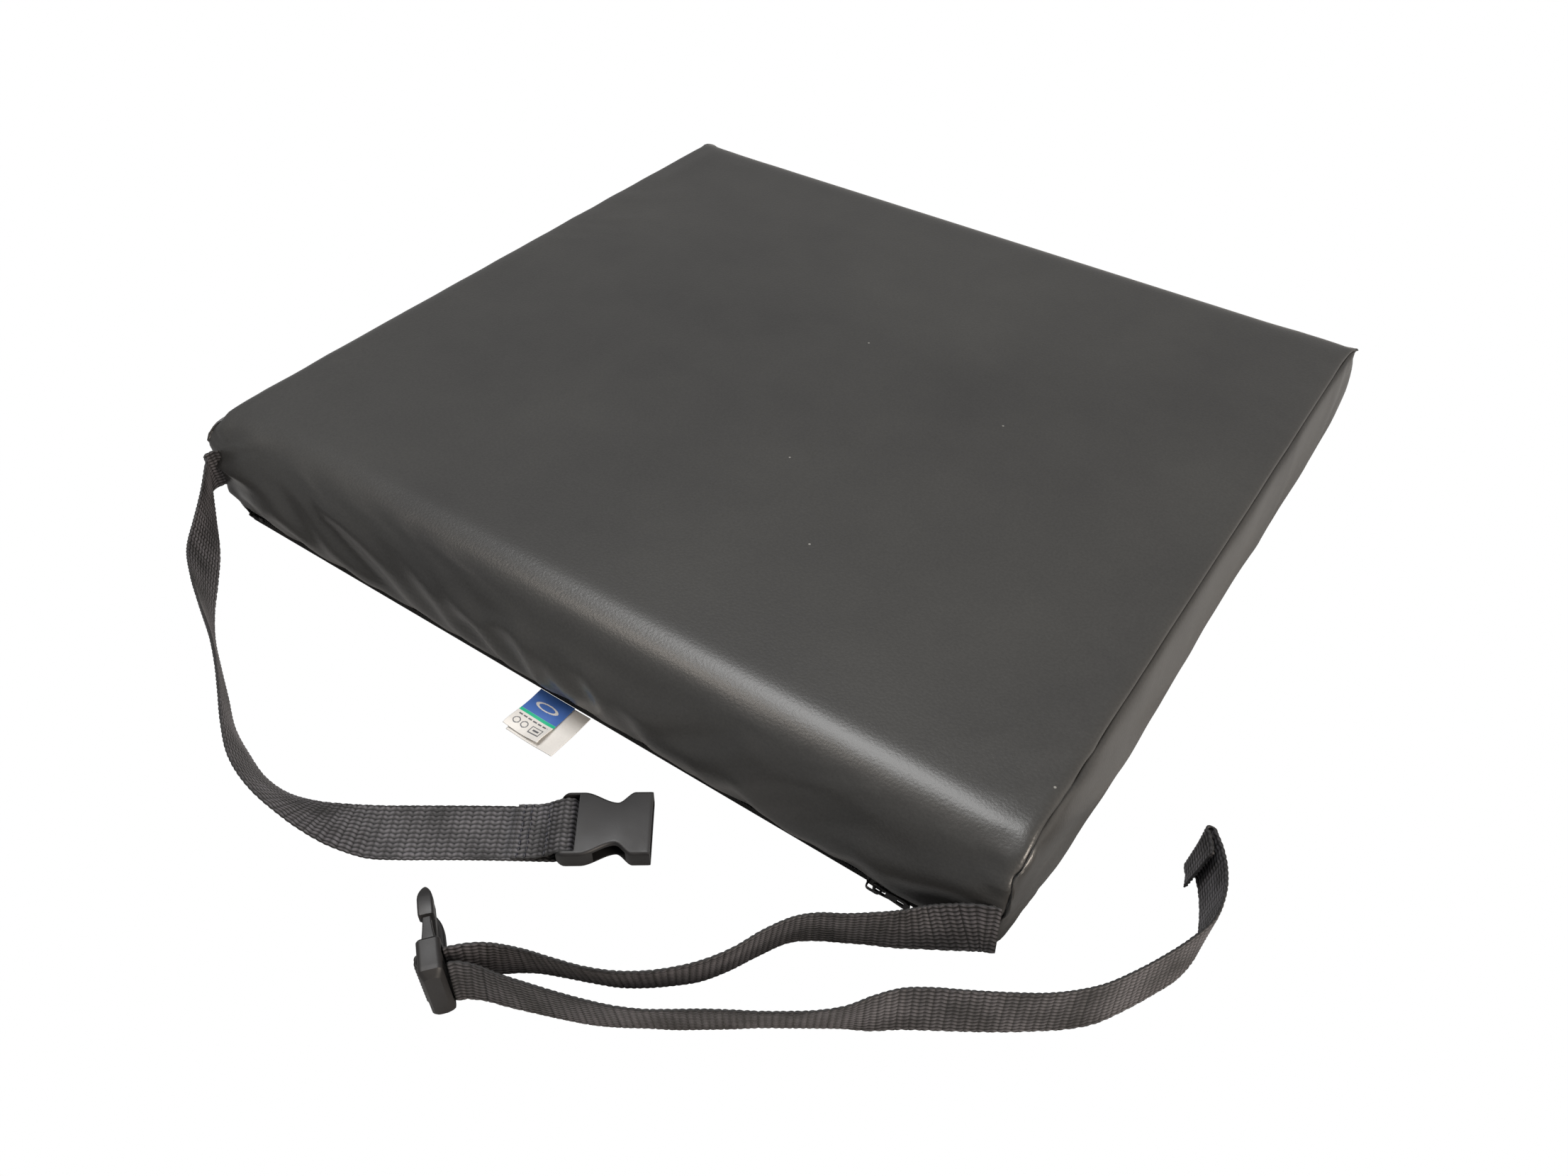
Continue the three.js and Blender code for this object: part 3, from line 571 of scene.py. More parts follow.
# Polyurethane-coated polyester knit: a fine even grain, a soft satin sheen where it rolls away from the
# light, nearly black in its own shade, and a few pale specks of lint. Its loops, about 0.5 mm wide, are
# drawn as a grain of 1.1 mm so that they show. Its tone drifts over 111 mm, with a speck to each 38 mm.
COVER_CLOTH, shader = finish("coated_stretch_knit")
here = add_node(COVER_CLOTH, "TexCoord").outputs["Object"]
blotch = pattern(COVER_CLOTH, "TexNoise", here, 9, Detail=4.0, Roughness=0.6)
tone = colour_ramp(COVER_CLOTH, blotch.outputs["Fac"], (0.3, linear("2f2f2f")), (0.72, linear("383837")))
grain = pattern(COVER_CLOTH, "TexNoise", here, 900, Detail=2.0)
knit = add_node(
    COVER_CLOTH, "MixRGB", {"blend_type": "OVERLAY"}, {0: 0.22}, {1: tone, 2: grain.outputs["Fac"]}
)
lint = pattern(COVER_CLOTH, "TexVoronoi", here, 26, {"feature": "F1"}, Randomness=1.0)
speck = colour_ramp(
    COVER_CLOTH, lint.outputs["Distance"], (0.010, (0.5, 0.5, 0.5, 1)), (0.016, (0, 0, 0, 1))
)
dusted = add_node(
    COVER_CLOTH, "MixRGB", {"blend_type": "MIX"}, {2: linear("a9a8a4")}, {0: speck, 1: knit.outputs["Color"]}
)
dimple = bump(COVER_CLOTH, grain.outputs["Fac"], 0.35, 0.0002)
set_sockets(
    COVER_CLOTH,
    shader,
    {"Roughness": 0.34, "IOR": 1.5, "Sheen Weight": 0.1, "Sheen Roughness": 0.35},
    {"Base Color": dusted.outputs["Color"], "Normal": dimple},
)

grid = cover[:wrap_points].reshape(ring_count, columns, 3)
wrap_end = 2 * ROWS_UP + ROWS_DEEP
wrap_grid = np.vstack([hem[None], grid[3 : wrap_end + 1]])
wrap_panel = panel("wrap_panel", wrap_grid, COVER_CLOTH, "cover_cloth", "cover_wrap")
base_panel = panel(
    "base_panel", np.vstack([grid[wrap_end:], grid[:2]]), COVER_CLOTH, "base_cloth", "cover_base"
)
side_grids = [cover[number].transpose(1, 0, 2) for number in side_numbers]
left_gusset = panel("left_gusset", side_grids[0][::-1], COVER_CLOTH, "cover_cloth", "gusset_left")
right_gusset = panel("right_gusset", side_grids[1], COVER_CLOTH, "cover_cloth", "gusset_right")

# ---------------------------------------------------------------- foam core
# One block of flexible polyurethane foam, cut to size with a band knife. It fills the cover, which alone
# holds it, and never shows while the zip is closed.


def toned(name, dark, light, scale, detail=2.0):
    """A finish whose tone drifts between two colours at a scale in repeats to a metre: the material, its
    shader, the place that its patterns read, and the drift."""
    material, shader = finish(name)
    here = add_node(material, "TexCoord").outputs["Object"]
    drift = pattern(material, "TexNoise", here, scale, Detail=detail).outputs["Fac"]
    tone = colour_ramp(material, drift, (0, linear(dark)), (1, linear(light)))
    set_sockets(material, shader, {}, {"Base Color": tone})
    return material, shader, here, drift


# Open-cell foam: matte cream, unevenly yellowed over 50 mm, and pitted by the cells that the knife opened,
# 1.4 mm across.
FOAM, shader, here, _ = toned("open_cell_foam", "d8cfae", "e6dfc6", 20)
cells = pattern(FOAM, "TexVoronoi", here, 700)
pits = bump(FOAM, cells.outputs["Distance"], 0.6, 0.0005)
set_sockets(FOAM, shader, {"Roughness": 0.95}, {"Normal": pits})
foam_points, foam_quads, _, _ = box_surface(5.0, 1.0)
foam_core = make_piece("foam_block", foam_points, foam_quads, FOAM, "foam")
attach(foam_core, "cushion")
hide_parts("foam_core")

# ---------------------------------------------------------------- turned webbing
# Short lengths of the same webbing: the left strap's end, taken over the socket's bar and sewn back on
# the strap; the turn round the plug half's middle bar; and the tail's end, folded over and stitched.

SOCKET_AT = np.array([52.2, -251.2, 0.0])
SOCKET_HEADING = math.radians(36)
PLUG_AT = np.array([70.2, -327.8, 0.0])
PLUG_HEADING = math.radians(140.7)
PLUG_HEIGHT = 28.8
BACK_SPACING = 2.5  # between the tail and its folded end


def set_down(points, at, heading):
    """Points turned about the vertical by a heading, then moved to a place on the ground."""
    x, y, z = np.moveaxis(np.asarray(points, float), -1, 0)
    c, s = math.cos(heading), math.sin(heading)
    return np.stack([x * c - y * s, x * s + y * c, z], axis=-1) + at


def laid(stations, at, heading):
    """Stations of a strap, set down with their lean kept."""
    stations = np.asarray(stations, float)
    return np.column_stack([set_down(stations[:, :3], at, heading), stations[:, 3]])


fold_route = [(5.7, 3.4), (5.5, 5.5), (3.6, 6.9), (0.5, 6.6)]
fold_route += [(-2.5, 5.3), (-5.5, 3.9), (-9.0, 3.1), (-17.0, 3.0)]
fold_stations = [(x, 0, z, -90) for x, z in fold_route]
strap_fold, _ = webbing("left_strap_fold", laid(fold_stations, SOCKET_AT, SOCKET_HEADING))
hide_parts("strap_left_fold")

turn_route = [(9.9, -3.1), (10.1, 0), (10.0, 2.2), (8.6, 4.3), (5.4, 4.3), (4.0, 2.2), (3.9, 0), (4.1, -3.1)]
turn_stations = [(x, y, PLUG_HEIGHT / 2, 0) for x, y in turn_route]
strap_turn, _ = webbing("adjuster_turn", laid(turn_stations, PLUG_AT, PLUG_HEADING))
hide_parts("strap_turn")

tail_end = np.array(TAIL_ROUTE[-1][:3])
tail_run = tail_end[:2] - np.array(TAIL_ROUTE[-2][:2])
tail_run = np.append(tail_run / np.linalg.norm(tail_run), 0)
tail_side = np.array([-tail_run[1], tail_run[0], 0])
HEM_TURN = ((-1.6, 0, -6), (0.3, 0.02, -6), (1.4, 0.5, 0), (0.3, 1.0, 6), (-4.5, 1.3, 8), (-9.0, 1.9, 10))
hem_stations = [
    (*(tail_end + tail_run * ahead + tail_side * aside * BACK_SPACING), lean)
    for ahead, aside, lean in HEM_TURN
]
strap_hem, _ = webbing("tail_hem", hem_stations)
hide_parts("strap_tail_hem")

# Bonded polyester sewing thread, laid in rows of short slanted stitches across the webbing: a smooth hard
# line with a soft shine, its plies 0.56 mm apart.
THREAD, shader, _, _ = toned("bonded_polyester_thread", "15161c", "31333f", 1800)
set_sockets(THREAD, shader, {"Roughness": 0.45})
STITCH_LENGTH = 2.3
STITCH_RADIUS = 0.34


def stitches(middles, along, up):
    """Stitches as spindles: round sections along each one, widest in its middle and sunk at its ends."""
    t = np.linspace(-1, 1, 7)
    angle = np.linspace(0, 2 * np.pi, 6, endpoint=False)
    side = unit(np.cross(up, along))
    width = STITCH_RADIUS * np.sqrt(1.02 - t**2)
    ring = width[:, None, None] * (np.cos(angle)[:, None] * side + np.sin(angle)[:, None] * up)
    line = t[:, None] * along * STITCH_LENGTH / 2 - (t**2)[:, None] * up * 0.35
    one = (line[:, None] + ring).reshape(-1, 3)
    faces = np.array(tube_faces(7, 6, closed=False))
    points = np.asarray(middles)[:, None] + one[None]
    numbers = faces[None] + (np.arange(len(middles)) * len(one))[:, None, None]
    starts = range(0, len(middles) * len(one), len(one))
    caps = [[n + k for n in order] for k in starts for order in (range(5, -1, -1), range(36, 42))]
    return points.reshape(-1, 3), numbers.reshape(-1, 4).tolist() + caps


fold_rows = []
for back in (-4.2, -11.5, -14.5):
    height = np.interp(-back, [2.5, 5.5, 9, 17], [5.3, 3.9, 3.1, 3.0]) + STRAP_THICKNESS / 2 - 0.05
    for y in np.arange(-11, 11.5, 2.75):
        fold_rows.append((back + 0.25 * math.sin(3 * y), y, height))
heading = np.array([math.cos(SOCKET_HEADING), math.sin(SOCKET_HEADING), 0])
square = np.array([-heading[1], heading[0], 0])
thread_points, thread_faces = stitches(
    set_down(fold_rows, SOCKET_AT, SOCKET_HEADING), unit(square + 0.25 * heading), np.array([0, 0, 1.0])
)
fold_thread = make_piece("fold_stitching", thread_points, thread_faces, THREAD, "webbing")
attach(fold_thread, "cushion")

# ---------------------------------------------------------------- buckle, socket half
# A hollow moulding of acetal: a flat sleeve with a finger scoop in each side, where the latch arms show,
# an open mouth, and a bar between two rails that holds the strap.

BUCKLE_HALF = 14.4
SOCKET_LENGTH = 35.0
SOCKET_HEIGHT = 8.6
SOCKET_WAIST = 9.5
WEB_HALF = 12.8


def rounded_rings(x, half_y, half_z, radius, mid_y=0.0, mid_z=0.0, corner=6):
    """Rounded rectangles square to the X axis, one at each x, each with its own half sizes, middle and
    corner radius: four quarter circles, joined by straights."""
    x, half_y, half_z, mid_y, mid_z = np.broadcast_arrays(x, half_y, half_z, mid_y, mid_z)
    radius = np.minimum(radius, 0.98 * np.minimum(half_y, half_z))[:, None]
    angle = np.radians(np.concatenate([np.linspace(0, 90, corner) + q for q in (0, 90, 180, 270)]))
    sign_y = np.repeat([1, -1, -1, 1], corner)
    sign_z = np.repeat([1, 1, -1, -1], corner)
    y = mid_y[:, None] + sign_y * (half_y[:, None] - radius) + radius * np.cos(angle)
    z = mid_z[:, None] + sign_z * (half_z[:, None] - radius) + radius * np.sin(angle)
    return np.stack([np.broadcast_to(x[:, None], y.shape), y, z], axis=-1)


def box_faces(low, high):
    """Corner points and outward quads of a plain box, used only to cut with."""
    ends = list(zip(low, high))
    points = [[x, y, z] for x in ends[0] for y in ends[1] for z in ends[2]]
    return points, [[0, 1, 3, 2], [4, 6, 7, 5], [0, 4, 5, 1], [2, 3, 7, 6], [0, 2, 6, 4], [1, 5, 7, 3]]


def moulding(name, solids, cuts, at, heading, material, slot, edge=0.35):
    """A moulded piece: lofted solids joined together, boxes cut out of them, and every edge rounded."""
    made = []
    for k, rings in enumerate(solids):
        faces = tube_faces(rings.shape[0], rings.shape[1])
        made.append(make_piece(f"{name}_{k}", set_down(rings, at, heading), faces, material, slot))
    body = made[0]
    tools = made[1:]
    for k, (low, high) in enumerate(cuts):
        points, faces = box_faces(low, high)
        tools.append(make_piece(f"{name}_cut_{k}", set_down(points, at, heading), faces, material, slot))
    for k, tool in enumerate(tools):
        step = body.modifiers.new(f"step_{k}", "BOOLEAN")
        step.operation = "UNION" if k < len(solids) - 1 else "DIFFERENCE"
        step.solver = "EXACT"
        step.object = tool
    mesh = bpy.data.meshes.new_from_object(body.evaluated_get(bpy.context.evaluated_depsgraph_get()))
    for thing in (body, *tools):
        bpy.data.objects.remove(thing)
    mesh.name = name
    mesh.set_sharp_from_angle(angle=math.radians(32))
    piece = put(name, mesh)
    soft = piece.modifiers.new("edges", "BEVEL")
    soft.width = edge / 1000
    soft.segments = 2
    soft.limit_method = "ANGLE"
    soft.angle_limit = math.radians(40)
    soft.use_clamp_overlap = True
    return piece


# Black acetal, moulded in a finely spark-eroded tool: an even grey-black with a soft broad shine, a
# little brighter in patches of 11 mm where handling has polished it. The tool's grit, too fine to show,
# is drawn 0.455 mm wide.
ACETAL, shader, here, rubbed = toned("black_moulded_acetal", "18181a", "242323", 90, 4.0)
SHINE = {"From Min": 0.3, "From Max": 0.7, "To Min": 0.4, "To Max": 0.55}
wear = add_node(ACETAL, "MapRange", {}, SHINE, {0: rubbed})
grit = pattern(ACETAL, "TexNoise", here, 2200, Detail=2.0)
spark = bump(ACETAL, grit.outputs["Fac"], 0.25, 0.00008)
set_sockets(ACETAL, shader, {"IOR": 1.48}, {"Roughness": wear.outputs["Result"], "Normal": spark})

x = [0.0, 0.3, 0.8, 1.5, 2.4, 3.4]
x = np.concatenate([x, np.linspace(4.5, 34.4, 62), [SOCKET_LENGTH - 0.2, SOCKET_LENGTH]])
scoop = ease((x - 8.5) / 13.5) * ease((28.3 - x) / 6.6)
half_y = BUCKLE_HALF - (BUCKLE_HALF - SOCKET_WAIST) * scoop - 1.4 * (1 - np.minimum(x / 3, 1)) ** 2
nose = np.sqrt(1 - (1 - np.minimum((x + 0.25) / 3.65, 1)) ** 2)
lip = 1 - 0.05 * ease((x - 34) / 1.2)
half_z = (SOCKET_HEIGHT / 2) * np.where(x < 3.4, 0.42 + 0.58 * nose, lip)
sleeve = rounded_rings(x, half_y, half_z, 1.5, mid_z=SOCKET_HEIGHT / 2)
buckle_socket = moulding(
    "buckle_socket_half",
    [sleeve],
    [
        ((10.5, -WEB_HALF, 1.6), (36, WEB_HALF, 7.0)),
        ((3.6, -WEB_HALF, -1), (7.0, WEB_HALF, 10)),
        ((-1, -WEB_HALF + 0.03, 5.2), (3.7, WEB_HALF - 0.03, 11)),
        ((-2, -WEB_HALF + 0.06, -2), (3.8, WEB_HALF - 0.06, 2.8)),
    ],
    SOCKET_AT,
    SOCKET_HEADING,
    ACETAL,
    "buckle_plastic",
)
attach(buckle_socket, "cushion")
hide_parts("buckle_socket")

# ---------------------------------------------------------------- buckle, plug half
# Stands on one long edge. A frame with two slots adjusts the strap, a guide runs forward from its
# middle, and a latch arm springs at each side of the guide, with a barbed head and a pointed tip.

FRAME_LENGTH = 14.0
PLUG_THICK = 8.0
ARM_ROOT = FRAME_LENGTH + 0.15
ARM_TIP = 36.5
ARM_REACH = 10.9  # from the guide's middle to an arm's

x = np.concatenate([[0, 0.25, 0.7, 1.3, 2.0, 2.9], np.linspace(3.8, 13.2, 12), [13.6, 13.85, FRAME_LENGTH]])
ends = ease((x + 1.1) / 3.6) * (1 - 0.16 * ease((x - 13.2) / 0.8))
frame_rings = rounded_rings(
    x,
    PLUG_THICK / 2 * (0.55 + 0.45 * ends),
    PLUG_HEIGHT / 2 - 3.4 * (1 - ends),
    1.7,
    mid_z=PLUG_HEIGHT / 2,
)
x = np.array([13.4, 14.2, 20, 30, 34.6, 36.1, 36.8, 37.0])
wide = [1.5, 1.5, 1.5, 1.5, 1.4, 1.2, 0.9, 0.5]
tall = [3.4, 2.9, 2.5, 2.5, 2.5, 2.2, 1.6, 1.0]
guide_rings = rounded_rings(x, wide, tall, 0.5, mid_z=PLUG_HEIGHT / 2)
plug_frame = moulding(
    "buckle_plug_half",
    [frame_rings, guide_rings],
    [
        ((2.4, -5, 1.6), (5.8, 5, PLUG_HEIGHT - 1.6)),
        ((8.2, -5, 1.6), (11.6, 5, PLUG_HEIGHT - 1.6)),
        ((2.5, 1.2, 1.7), (11.5, 5, PLUG_HEIGHT - 1.7)),
        ((14.6, -0.4, PLUG_HEIGHT / 2 - 1.5), (34.0, 3, PLUG_HEIGHT / 2 + 1.5)),
    ],
    PLUG_AT,
    PLUG_HEADING,
    ACETAL,
    "buckle_plastic",
)
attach(plug_frame, "cushion")
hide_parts("buckle_plug_frame")

for name, side, body in (("upper", 1, "latch_upper"), ("lower", -1, "latch_lower")):
    # The root is rounded off, so that it rolls on the frame when the arm flexes.
    x = np.array([ARM_ROOT, ARM_ROOT + 0.25, 15.5, 18, 21, 23.1])
    wide = [1.9, 2.2, 2.1, 1.8, 1.5, 1.45]
    tall = [0.8, 1.25, 1.3, 1.25, 1.2, 1.2]
    neck = rounded_rings(x, wide, tall, 0.45, mid_z=PLUG_HEIGHT / 2 + side * ARM_REACH)
    x = np.array([23.2, 23.5, 24.2, 27, 30.0, 31.4, 32.8, 34.2, 35.4, 36.1, ARM_TIP])
    wide = np.array([2.1, 2.55, 2.65, 2.65, 2.6, 2.45, 2.1, 1.55, 0.95, 0.5, 0.12])
    tall = np.array([1.6, 2.2, 2.3, 2.4, 2.35, 2.2, 1.95, 1.6, 1.2, 0.8, 0.35])
    inner = PLUG_HEIGHT / 2 + side * 8.8
    head = rounded_rings(x, wide, tall, 0.8, mid_z=inner + side * tall)
    solids = [neck, head]
    title = f"latch_arm_{name}_moulding"
    arm = moulding(title, solids, [], PLUG_AT, PLUG_HEADING, ACETAL, "buckle_plastic", edge=0.2)
    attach(arm, body)
    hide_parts(f"latch_arm_{name}")

# ---------------------------------------------------------------- zip
# A nylon coil zip along the foot of the rear face: two woven tapes, a coil of teeth along each, an end
# stop at each end, and a die-cast slider with an arch and a pull tab, parked at the right-hand end.

ZIP_FACE = -HALF_DEPTH
COIL_PITCH = 1.5
WIRE = 0.27


def coil(name, low, high, start, end, turn):
    """A helix of round wire along X: each turn is one tooth, and the wire's section is square to it."""
    turns = (end - start) / COIL_PITCH
    t = np.linspace(0, turns, round(turns * 10) + 1)
    phase = 2 * np.pi * t + turn
    reach = (high - low) / 2 - WIRE
    y = ZIP_FACE + 0.2 + 0.45 * np.cos(phase)
    middle = np.stack([start + COIL_PITCH * t, y, (low + high) / 2 + reach * np.sin(phase)], axis=1)
    run = unit(np.gradient(middle, axis=0))
    side = unit(np.cross(run, [1.0, 0, 0]))
    lift = np.cross(run, side)
    angle = np.linspace(0, 2 * np.pi, 6, endpoint=False)
    rings = np.cos(angle)[:, None] * side[:, None] + np.sin(angle)[:, None] * lift[:, None]
    rings = middle[:, None] + WIRE * rings
    piece = make_piece(name, rings, tube_faces(len(t), 6), COIL_NYLON, "zip_nylon")
    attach(piece, "cushion")
    return piece


# Black nylon monofilament: hard, round and slightly glossy, scuffed in patches of 3 mm.
COIL_NYLON, shader, _, _ = toned("nylon_monofilament", "111112", "232324", 300)
set_sockets(COIL_NYLON, shader, {"Roughness": 0.35, "IOR": 1.53})

# Woven polyester tape: black and dull, with a fine even herringbone whose rows are 2 mm apart.
ZIP_TAPE, shader = finish("woven_polyester_tape")
here = add_node(ZIP_TAPE, "TexCoord").outputs["Object"]
rows = pattern(ZIP_TAPE, "TexWave", here, 500, {"bands_direction": "DIAGONAL"}, Distortion=0.6)
tone = colour_ramp(ZIP_TAPE, rows.outputs["Fac"], (0, linear("121212")), (1, linear("232323")))
ribs = bump(ZIP_TAPE, rows.outputs["Fac"], 0.5, 0.0001)
set_sockets(ZIP_TAPE, shader, {"Roughness": 0.85}, {"Base Color": tone, "Normal": ribs})

# Zinc die casting under black lacquer: smooth, with a soft metallic shine, worn in patches of 4 mm.
LACQUER, shader, _, _ = toned("black_lacquered_zinc", "161617", "2b2b2d", 260, 5.0)
set_sockets(LACQUER, shader, {"Metallic": 0.3, "Roughness": 0.32})


def node_box(name):
    """A CAD node's box, as its two corners in millimetres."""
    return [np.array(corner) * 1000 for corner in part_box(name)]


# Each tape runs on into the seams beside the zip and under the panel that it is sewn to, which hide it.
for name, hidden, side, turn in (("lower", 1.2, -1, 0), ("upper", 1.0, 1, math.pi)):
    (left, back, low), (right, _, high) = node_box(f"zip_tape_{name}")
    x = np.linspace(left + 15, right - 4, 160)
    mid_z = (high + low) / 2 + side * (hidden / 2 - 0.05)
    rings = rounded_rings(x, 0.4, (high - low + hidden) / 2, 0.3, mid_y=back + 0.45, mid_z=mid_z)
    tape = make_piece(f"zip_tape_{name}_weave", rings, tube_faces(160, rings.shape[1]), ZIP_TAPE, "zip_nylon")
    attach(tape, "cushion")
    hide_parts(f"zip_tape_{name}")
    (left, _, low), (right, _, high) = node_box(f"zip_teeth_{name}")
    teeth = coil(f"zip_coil_{name}", low, high, left + 0.2, right - 0.2, turn)
    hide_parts(f"zip_teeth_{name}")

for name in ("zip_stop_left", "zip_stop_right"):
    low, high = node_box(name)
    x = np.array([low[0], low[0] + 0.2, low[0] + 0.5, high[0] - 0.5, high[0] - 0.2, high[0]])
    size = np.array([0.7, 0.9, 1, 1, 0.9, 0.7])
    _, half_y, half_z = (high - low) / 2
    _, mid_y, mid_z = (high + low) / 2
    rings = rounded_rings(x, size * half_y, size * half_z, 0.4, mid_y=mid_y, mid_z=mid_z)
    stop = make_piece(f"{name}_crimp", rings, tube_faces(6, rings.shape[1]), LACQUER, "zip_metal")
    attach(stop, "cushion")
    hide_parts(name)

low, high = node_box("zip_slider")
slider_x, _, slider_z = (low + high) / 2
plate_back = high[1]
slider_at = np.array([slider_x, 0, 0])
x = np.array([-4.0, -3.7, -3.0, -1.0, 1.5, 3.0, 3.7, 4.0])
tall = [1.8, 2.1, 2.3, 2.5, 2.75, 2.8, 2.6, 2.2]
plate = rounded_rings(x, 0.6, tall, 0.35, mid_y=plate_back - 0.6, mid_z=slider_z)
arch_path = [(-3.0, -1.0), (-2.9, -3.0), (-2.2, -4.1), (0, -4.2), (2.2, -4.1), (2.9, -3.0), (3.0, -1.0)]
_, arch_line = smooth_path(np.column_stack([arch_path, np.zeros(7)]), 0.35)
run = unit(np.gradient(arch_line, axis=0))
out = np.cross(run, [0, 0, 1.0])
angle = np.linspace(0, 2 * np.pi, 12, endpoint=False)
arch = arch_line[:, None] - 0.38 * np.cos(angle)[:, None] * out[:, None]
arch = arch + 0.8 * np.sin(angle)[:, None] * np.array([0, 0, 1.0])
arch = arch + [0, plate_back, slider_z]
slider = moulding("slider_body", [plate, arch], [], slider_at, 0.0, LACQUER, "zip_metal", edge=0.12)
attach(slider, "slider")
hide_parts("zip_slider")

(_, back, low), (_, front, high) = node_box("zip_pull_tab")
x = np.array([-0.5, -0.3, 0.2, 1.5, 5.0, 6.5, 9, 12.5, 14.0, 14.7, 15.0])
wide = [2.0, 2.3, 2.5, 2.5, 2.1, 1.9, 2.2, 2.5, 2.3, 1.7, 1.1]
thick = [0.4, 0.5, 0.5, 0.5, 0.5, 0.45, 0.45, 0.5, 0.5, 0.4, 0.3]
mid = (low + high) / 2
tab_body = rounded_rings(x, thick, wide, 0.3, mid_y=(back + front) / 2, mid_z=mid)
tab = moulding(
    "pull_tab_blade",
    [tab_body],
    [
        ((0.5, back - 1, mid - 1.4), (5.0, front + 1, mid + 1.4)),
        ((9.5, back - 1, mid - 0.9), (12.6, front + 1, mid + 0.9)),
    ],
    slider_at,
    0.0,
    LACQUER,
    "zip_metal",
    edge=0.12,
)
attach(tab, "pull_tab")
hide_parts("zip_pull_tab")

# ---------------------------------------------------------------- labels
# Two leaves of white satin tape caught in the seam under the zip and lying out on the ground: a narrow
# printed one on a wider plain one. The print is generic: fields, bars and a box.

LABEL_TAPE = 0.35
LABEL_ROOT = -HALF_DEPTH - 0.5
FIELD_END = 12.0  # from the seam to the far edge of the blue field


def leaf(name, width, length, middle, heights, curl, replaced, **ink):
    """A leaf of tape: rows go out from the seam along a smooth profile of heights, lifted at its edges
    by a curl, with the tape's thickness below it."""
    across = np.linspace(-1, 1, 91)
    out = np.linspace(0, 1, 121)
    x = middle + across[None, :] * width / 2 + 0 * out[:, None]
    z = np.interp(out, np.linspace(0, 1, len(heights)), heights)
    for _ in range(14):
        z[1:-1] = (z[:-2] + 2 * z[1:-1] + z[2:]) / 4
    wave = curl * (across[None, :] ** 2 * ease(out * 1.6 - 0.3)[:, None])
    wave = wave + 0.25 * np.sin(3.0 * across[None, :] + 5 * out[:, None]) * out[:, None]
    y = LABEL_ROOT - out[:, None] * length + 0 * across[None, :]
    top = np.stack([x, y, z[:, None] + np.maximum(wave, -0.2)], axis=-1)
    quads = grid_quads(np.arange(x.size).reshape(x.shape))
    u, v = np.broadcast_arrays(across[None, :] * width / 2, out[:, None] * length)
    inks = {name: mark(u, v).astype(float) for name, mark in ink.items()}
    uv = np.stack([u, v], -1).reshape(-1, 2) / 100
    piece = make_piece(name, top, quads, LABEL_SATIN, "label_satin", uv=uv, **inks)
    wall = piece.modifiers.new("tape", "SOLIDIFY")
    wall.thickness = LABEL_TAPE / 1000
    wall.offset = -1
    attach(piece, "cushion")
    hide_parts(replaced)


# Satin-woven polyester tape: white with a faint silky grain of 0.83 mm, printed in three inks.
LABEL_SATIN, shader, _, grain = toned("printed_satin_tape", "c2c0bc", "cfcdca", 1200)
layer = shader.inputs["Base Color"].links[0].from_socket
for ink_name, colour in (("blue_ink", "3b62a8"), ("green_ink", "12a47c"), ("grey_ink", "55565a")):
    printed = add_node(LABEL_SATIN, "Attribute", {"attribute_name": ink_name})
    mixed = add_node(LABEL_SATIN, "MixRGB", {}, {2: linear(colour)}, {0: printed.outputs["Fac"], 1: layer})
    layer = mixed.outputs["Color"]
threads = bump(LABEL_SATIN, grain, 0.2, 0.00005)
set_sockets(LABEL_SATIN, shader, {"Roughness": 0.45}, {"Base Color": layer, "Normal": threads})


def blue_field(u, v):
    """The blue field near the seam, less a blank oval badge in its middle."""
    ring = np.hypot(u / 6.0, (v - 6.6) / 1.9)
    return (v < FIELD_END) & ~((ring < 1) & (ring > 0.72))


def grey_marks(u, v):
    """A broken line, two rings and an open box."""
    dashes = (np.abs(v - 15.0) < 0.42) & (np.abs(u) < 8) & (np.mod(u, 2.6) < 1.9)
    one_ring = np.abs(np.hypot(u + 5.8, v - 18.6) - 1.5)
    rings = np.minimum(one_ring, np.abs(np.hypot(u + 1.6, v - 18.6) - 1.5)) < 0.26
    far = np.maximum(np.abs(u - 4.8) - 2.7, np.abs(v - 18.8) - 1.7)
    return dashes | rings | (np.abs(far) < 0.22) | ((np.abs(u - 4.8) < 1.6) & (np.abs(v - 18.8) < 0.4))


leaf(
    "front_label_leaf",
    19,
    23,
    5.5,
    (1.7, 1.6, 1.4, 1.4, 1.4, 1.5, 1.8, 2.0, 1.7),
    0.5,
    "label_front",
    blue_ink=blue_field,
    green_ink=lambda u, v: (v >= FIELD_END) & (v < FIELD_END + 1.6),
    grey_ink=grey_marks,
)
leaf("back_label_leaf", 25, 24, 11.0, (0.9, 0.8, 0.7, 0.6, 0.6, 0.6, 0.6, 0.5, 0.6), 0.1, "label_back")

# ---------------------------------------------------------------- floor and light
# Soft boxes high over the far side, low at the left rear, where it glances off the roll, and at the
# right. The floor and the room are plain white to the eye and grey to the light, as in a cut-out.


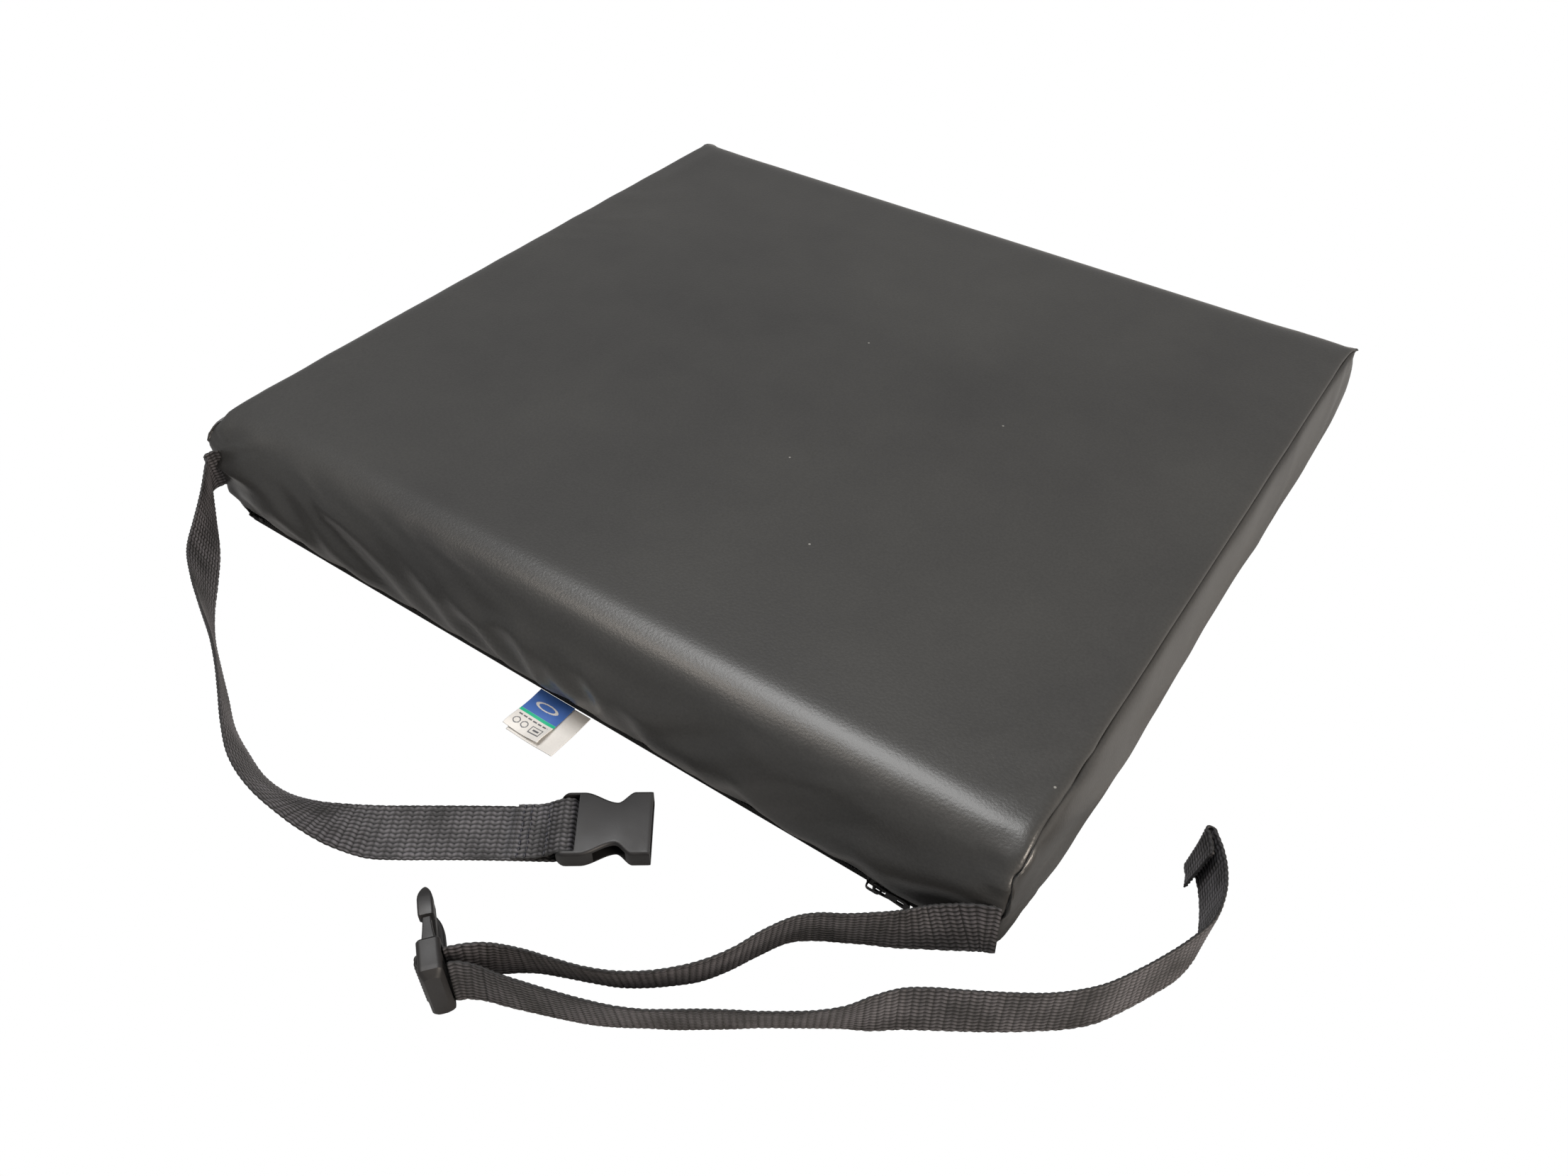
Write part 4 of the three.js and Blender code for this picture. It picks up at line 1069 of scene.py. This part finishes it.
def soft_box(name, place, aim, size, power, colour="ffffff"):
    """A square area light at a place, turned to face a point."""
    data = bpy.data.lights.new(name, "AREA")
    data.size = size
    data.energy = power
    data.color = linear(colour)[:3]
    light = put(name, data)
    light.location = place
    away = np.array(place) - np.array(aim)
    flat = math.hypot(away[0], away[1])
    light.rotation_euler = (math.atan2(flat, away[2]), 0, math.atan2(away[0], -away[1]))


soft_box("overhead", (-0.35, -0.1, 1.75), (0, 0, 0), 0.9, 25.5)
soft_box("roll_glow", (-0.60, -0.72, 1.3), (0.05, -0.2, 0), 0.3, 3.6, "fff3e6")
soft_box("right_window", (1.5, -0.25, 0.55), (0.2, 0, 0), 0.6, 25, "fff1e2")


def white_to_the_eye(tree, shaded):
    """Plain white for what the camera sees, and the given shader for every other ray."""
    nodes, links = tree.nodes, tree.links
    white = nodes.new("ShaderNodeEmission" if shaded.type != "BACKGROUND" else "ShaderNodeBackground")
    rays = nodes.new("ShaderNodeLightPath")
    either = nodes.new("ShaderNodeMixShader")
    links.new(rays.outputs["Is Camera Ray"], either.inputs[0])
    links.new(shaded.outputs[0], either.inputs[1])
    links.new(white.outputs[0], either.inputs[2])
    end = next(n for n in nodes if n.type in ("OUTPUT_MATERIAL", "OUTPUT_WORLD"))
    links.new(either.outputs[0], end.inputs["Surface"])
    white.inputs["Color"].default_value = (1, 1, 1, 1)


world = bpy.data.worlds.new("studio")
world.use_nodes = True
air = world.node_tree.nodes["Background"]
set_sockets(world, air, {"Color": (1, 1, 1, 1), "Strength": 0.28})
white_to_the_eye(world.node_tree, air)
bpy.context.scene.world = world

FLOOR_WHITE, shader = finish("matte_white_paint")
set_sockets(FLOOR_WHITE, shader, {"Base Color": (0.35, 0.35, 0.35, 1), "Roughness": 0.9})
white_to_the_eye(FLOOR_WHITE.node_tree, shader)
floor_mesh = bpy.data.meshes.new("floor")
floor_mesh.from_pydata([(-4, -4, 0), (4, -4, 0), (4, 4, 0), (-4, 4, 0)], [], [(0, 1, 2, 3)])
floor_mesh.materials.append(FLOOR_WHITE)
floor = put("floor", floor_mesh)
floor.location.z = -0.0003
bpy.context.scene.view_settings.view_transform = "Standard"
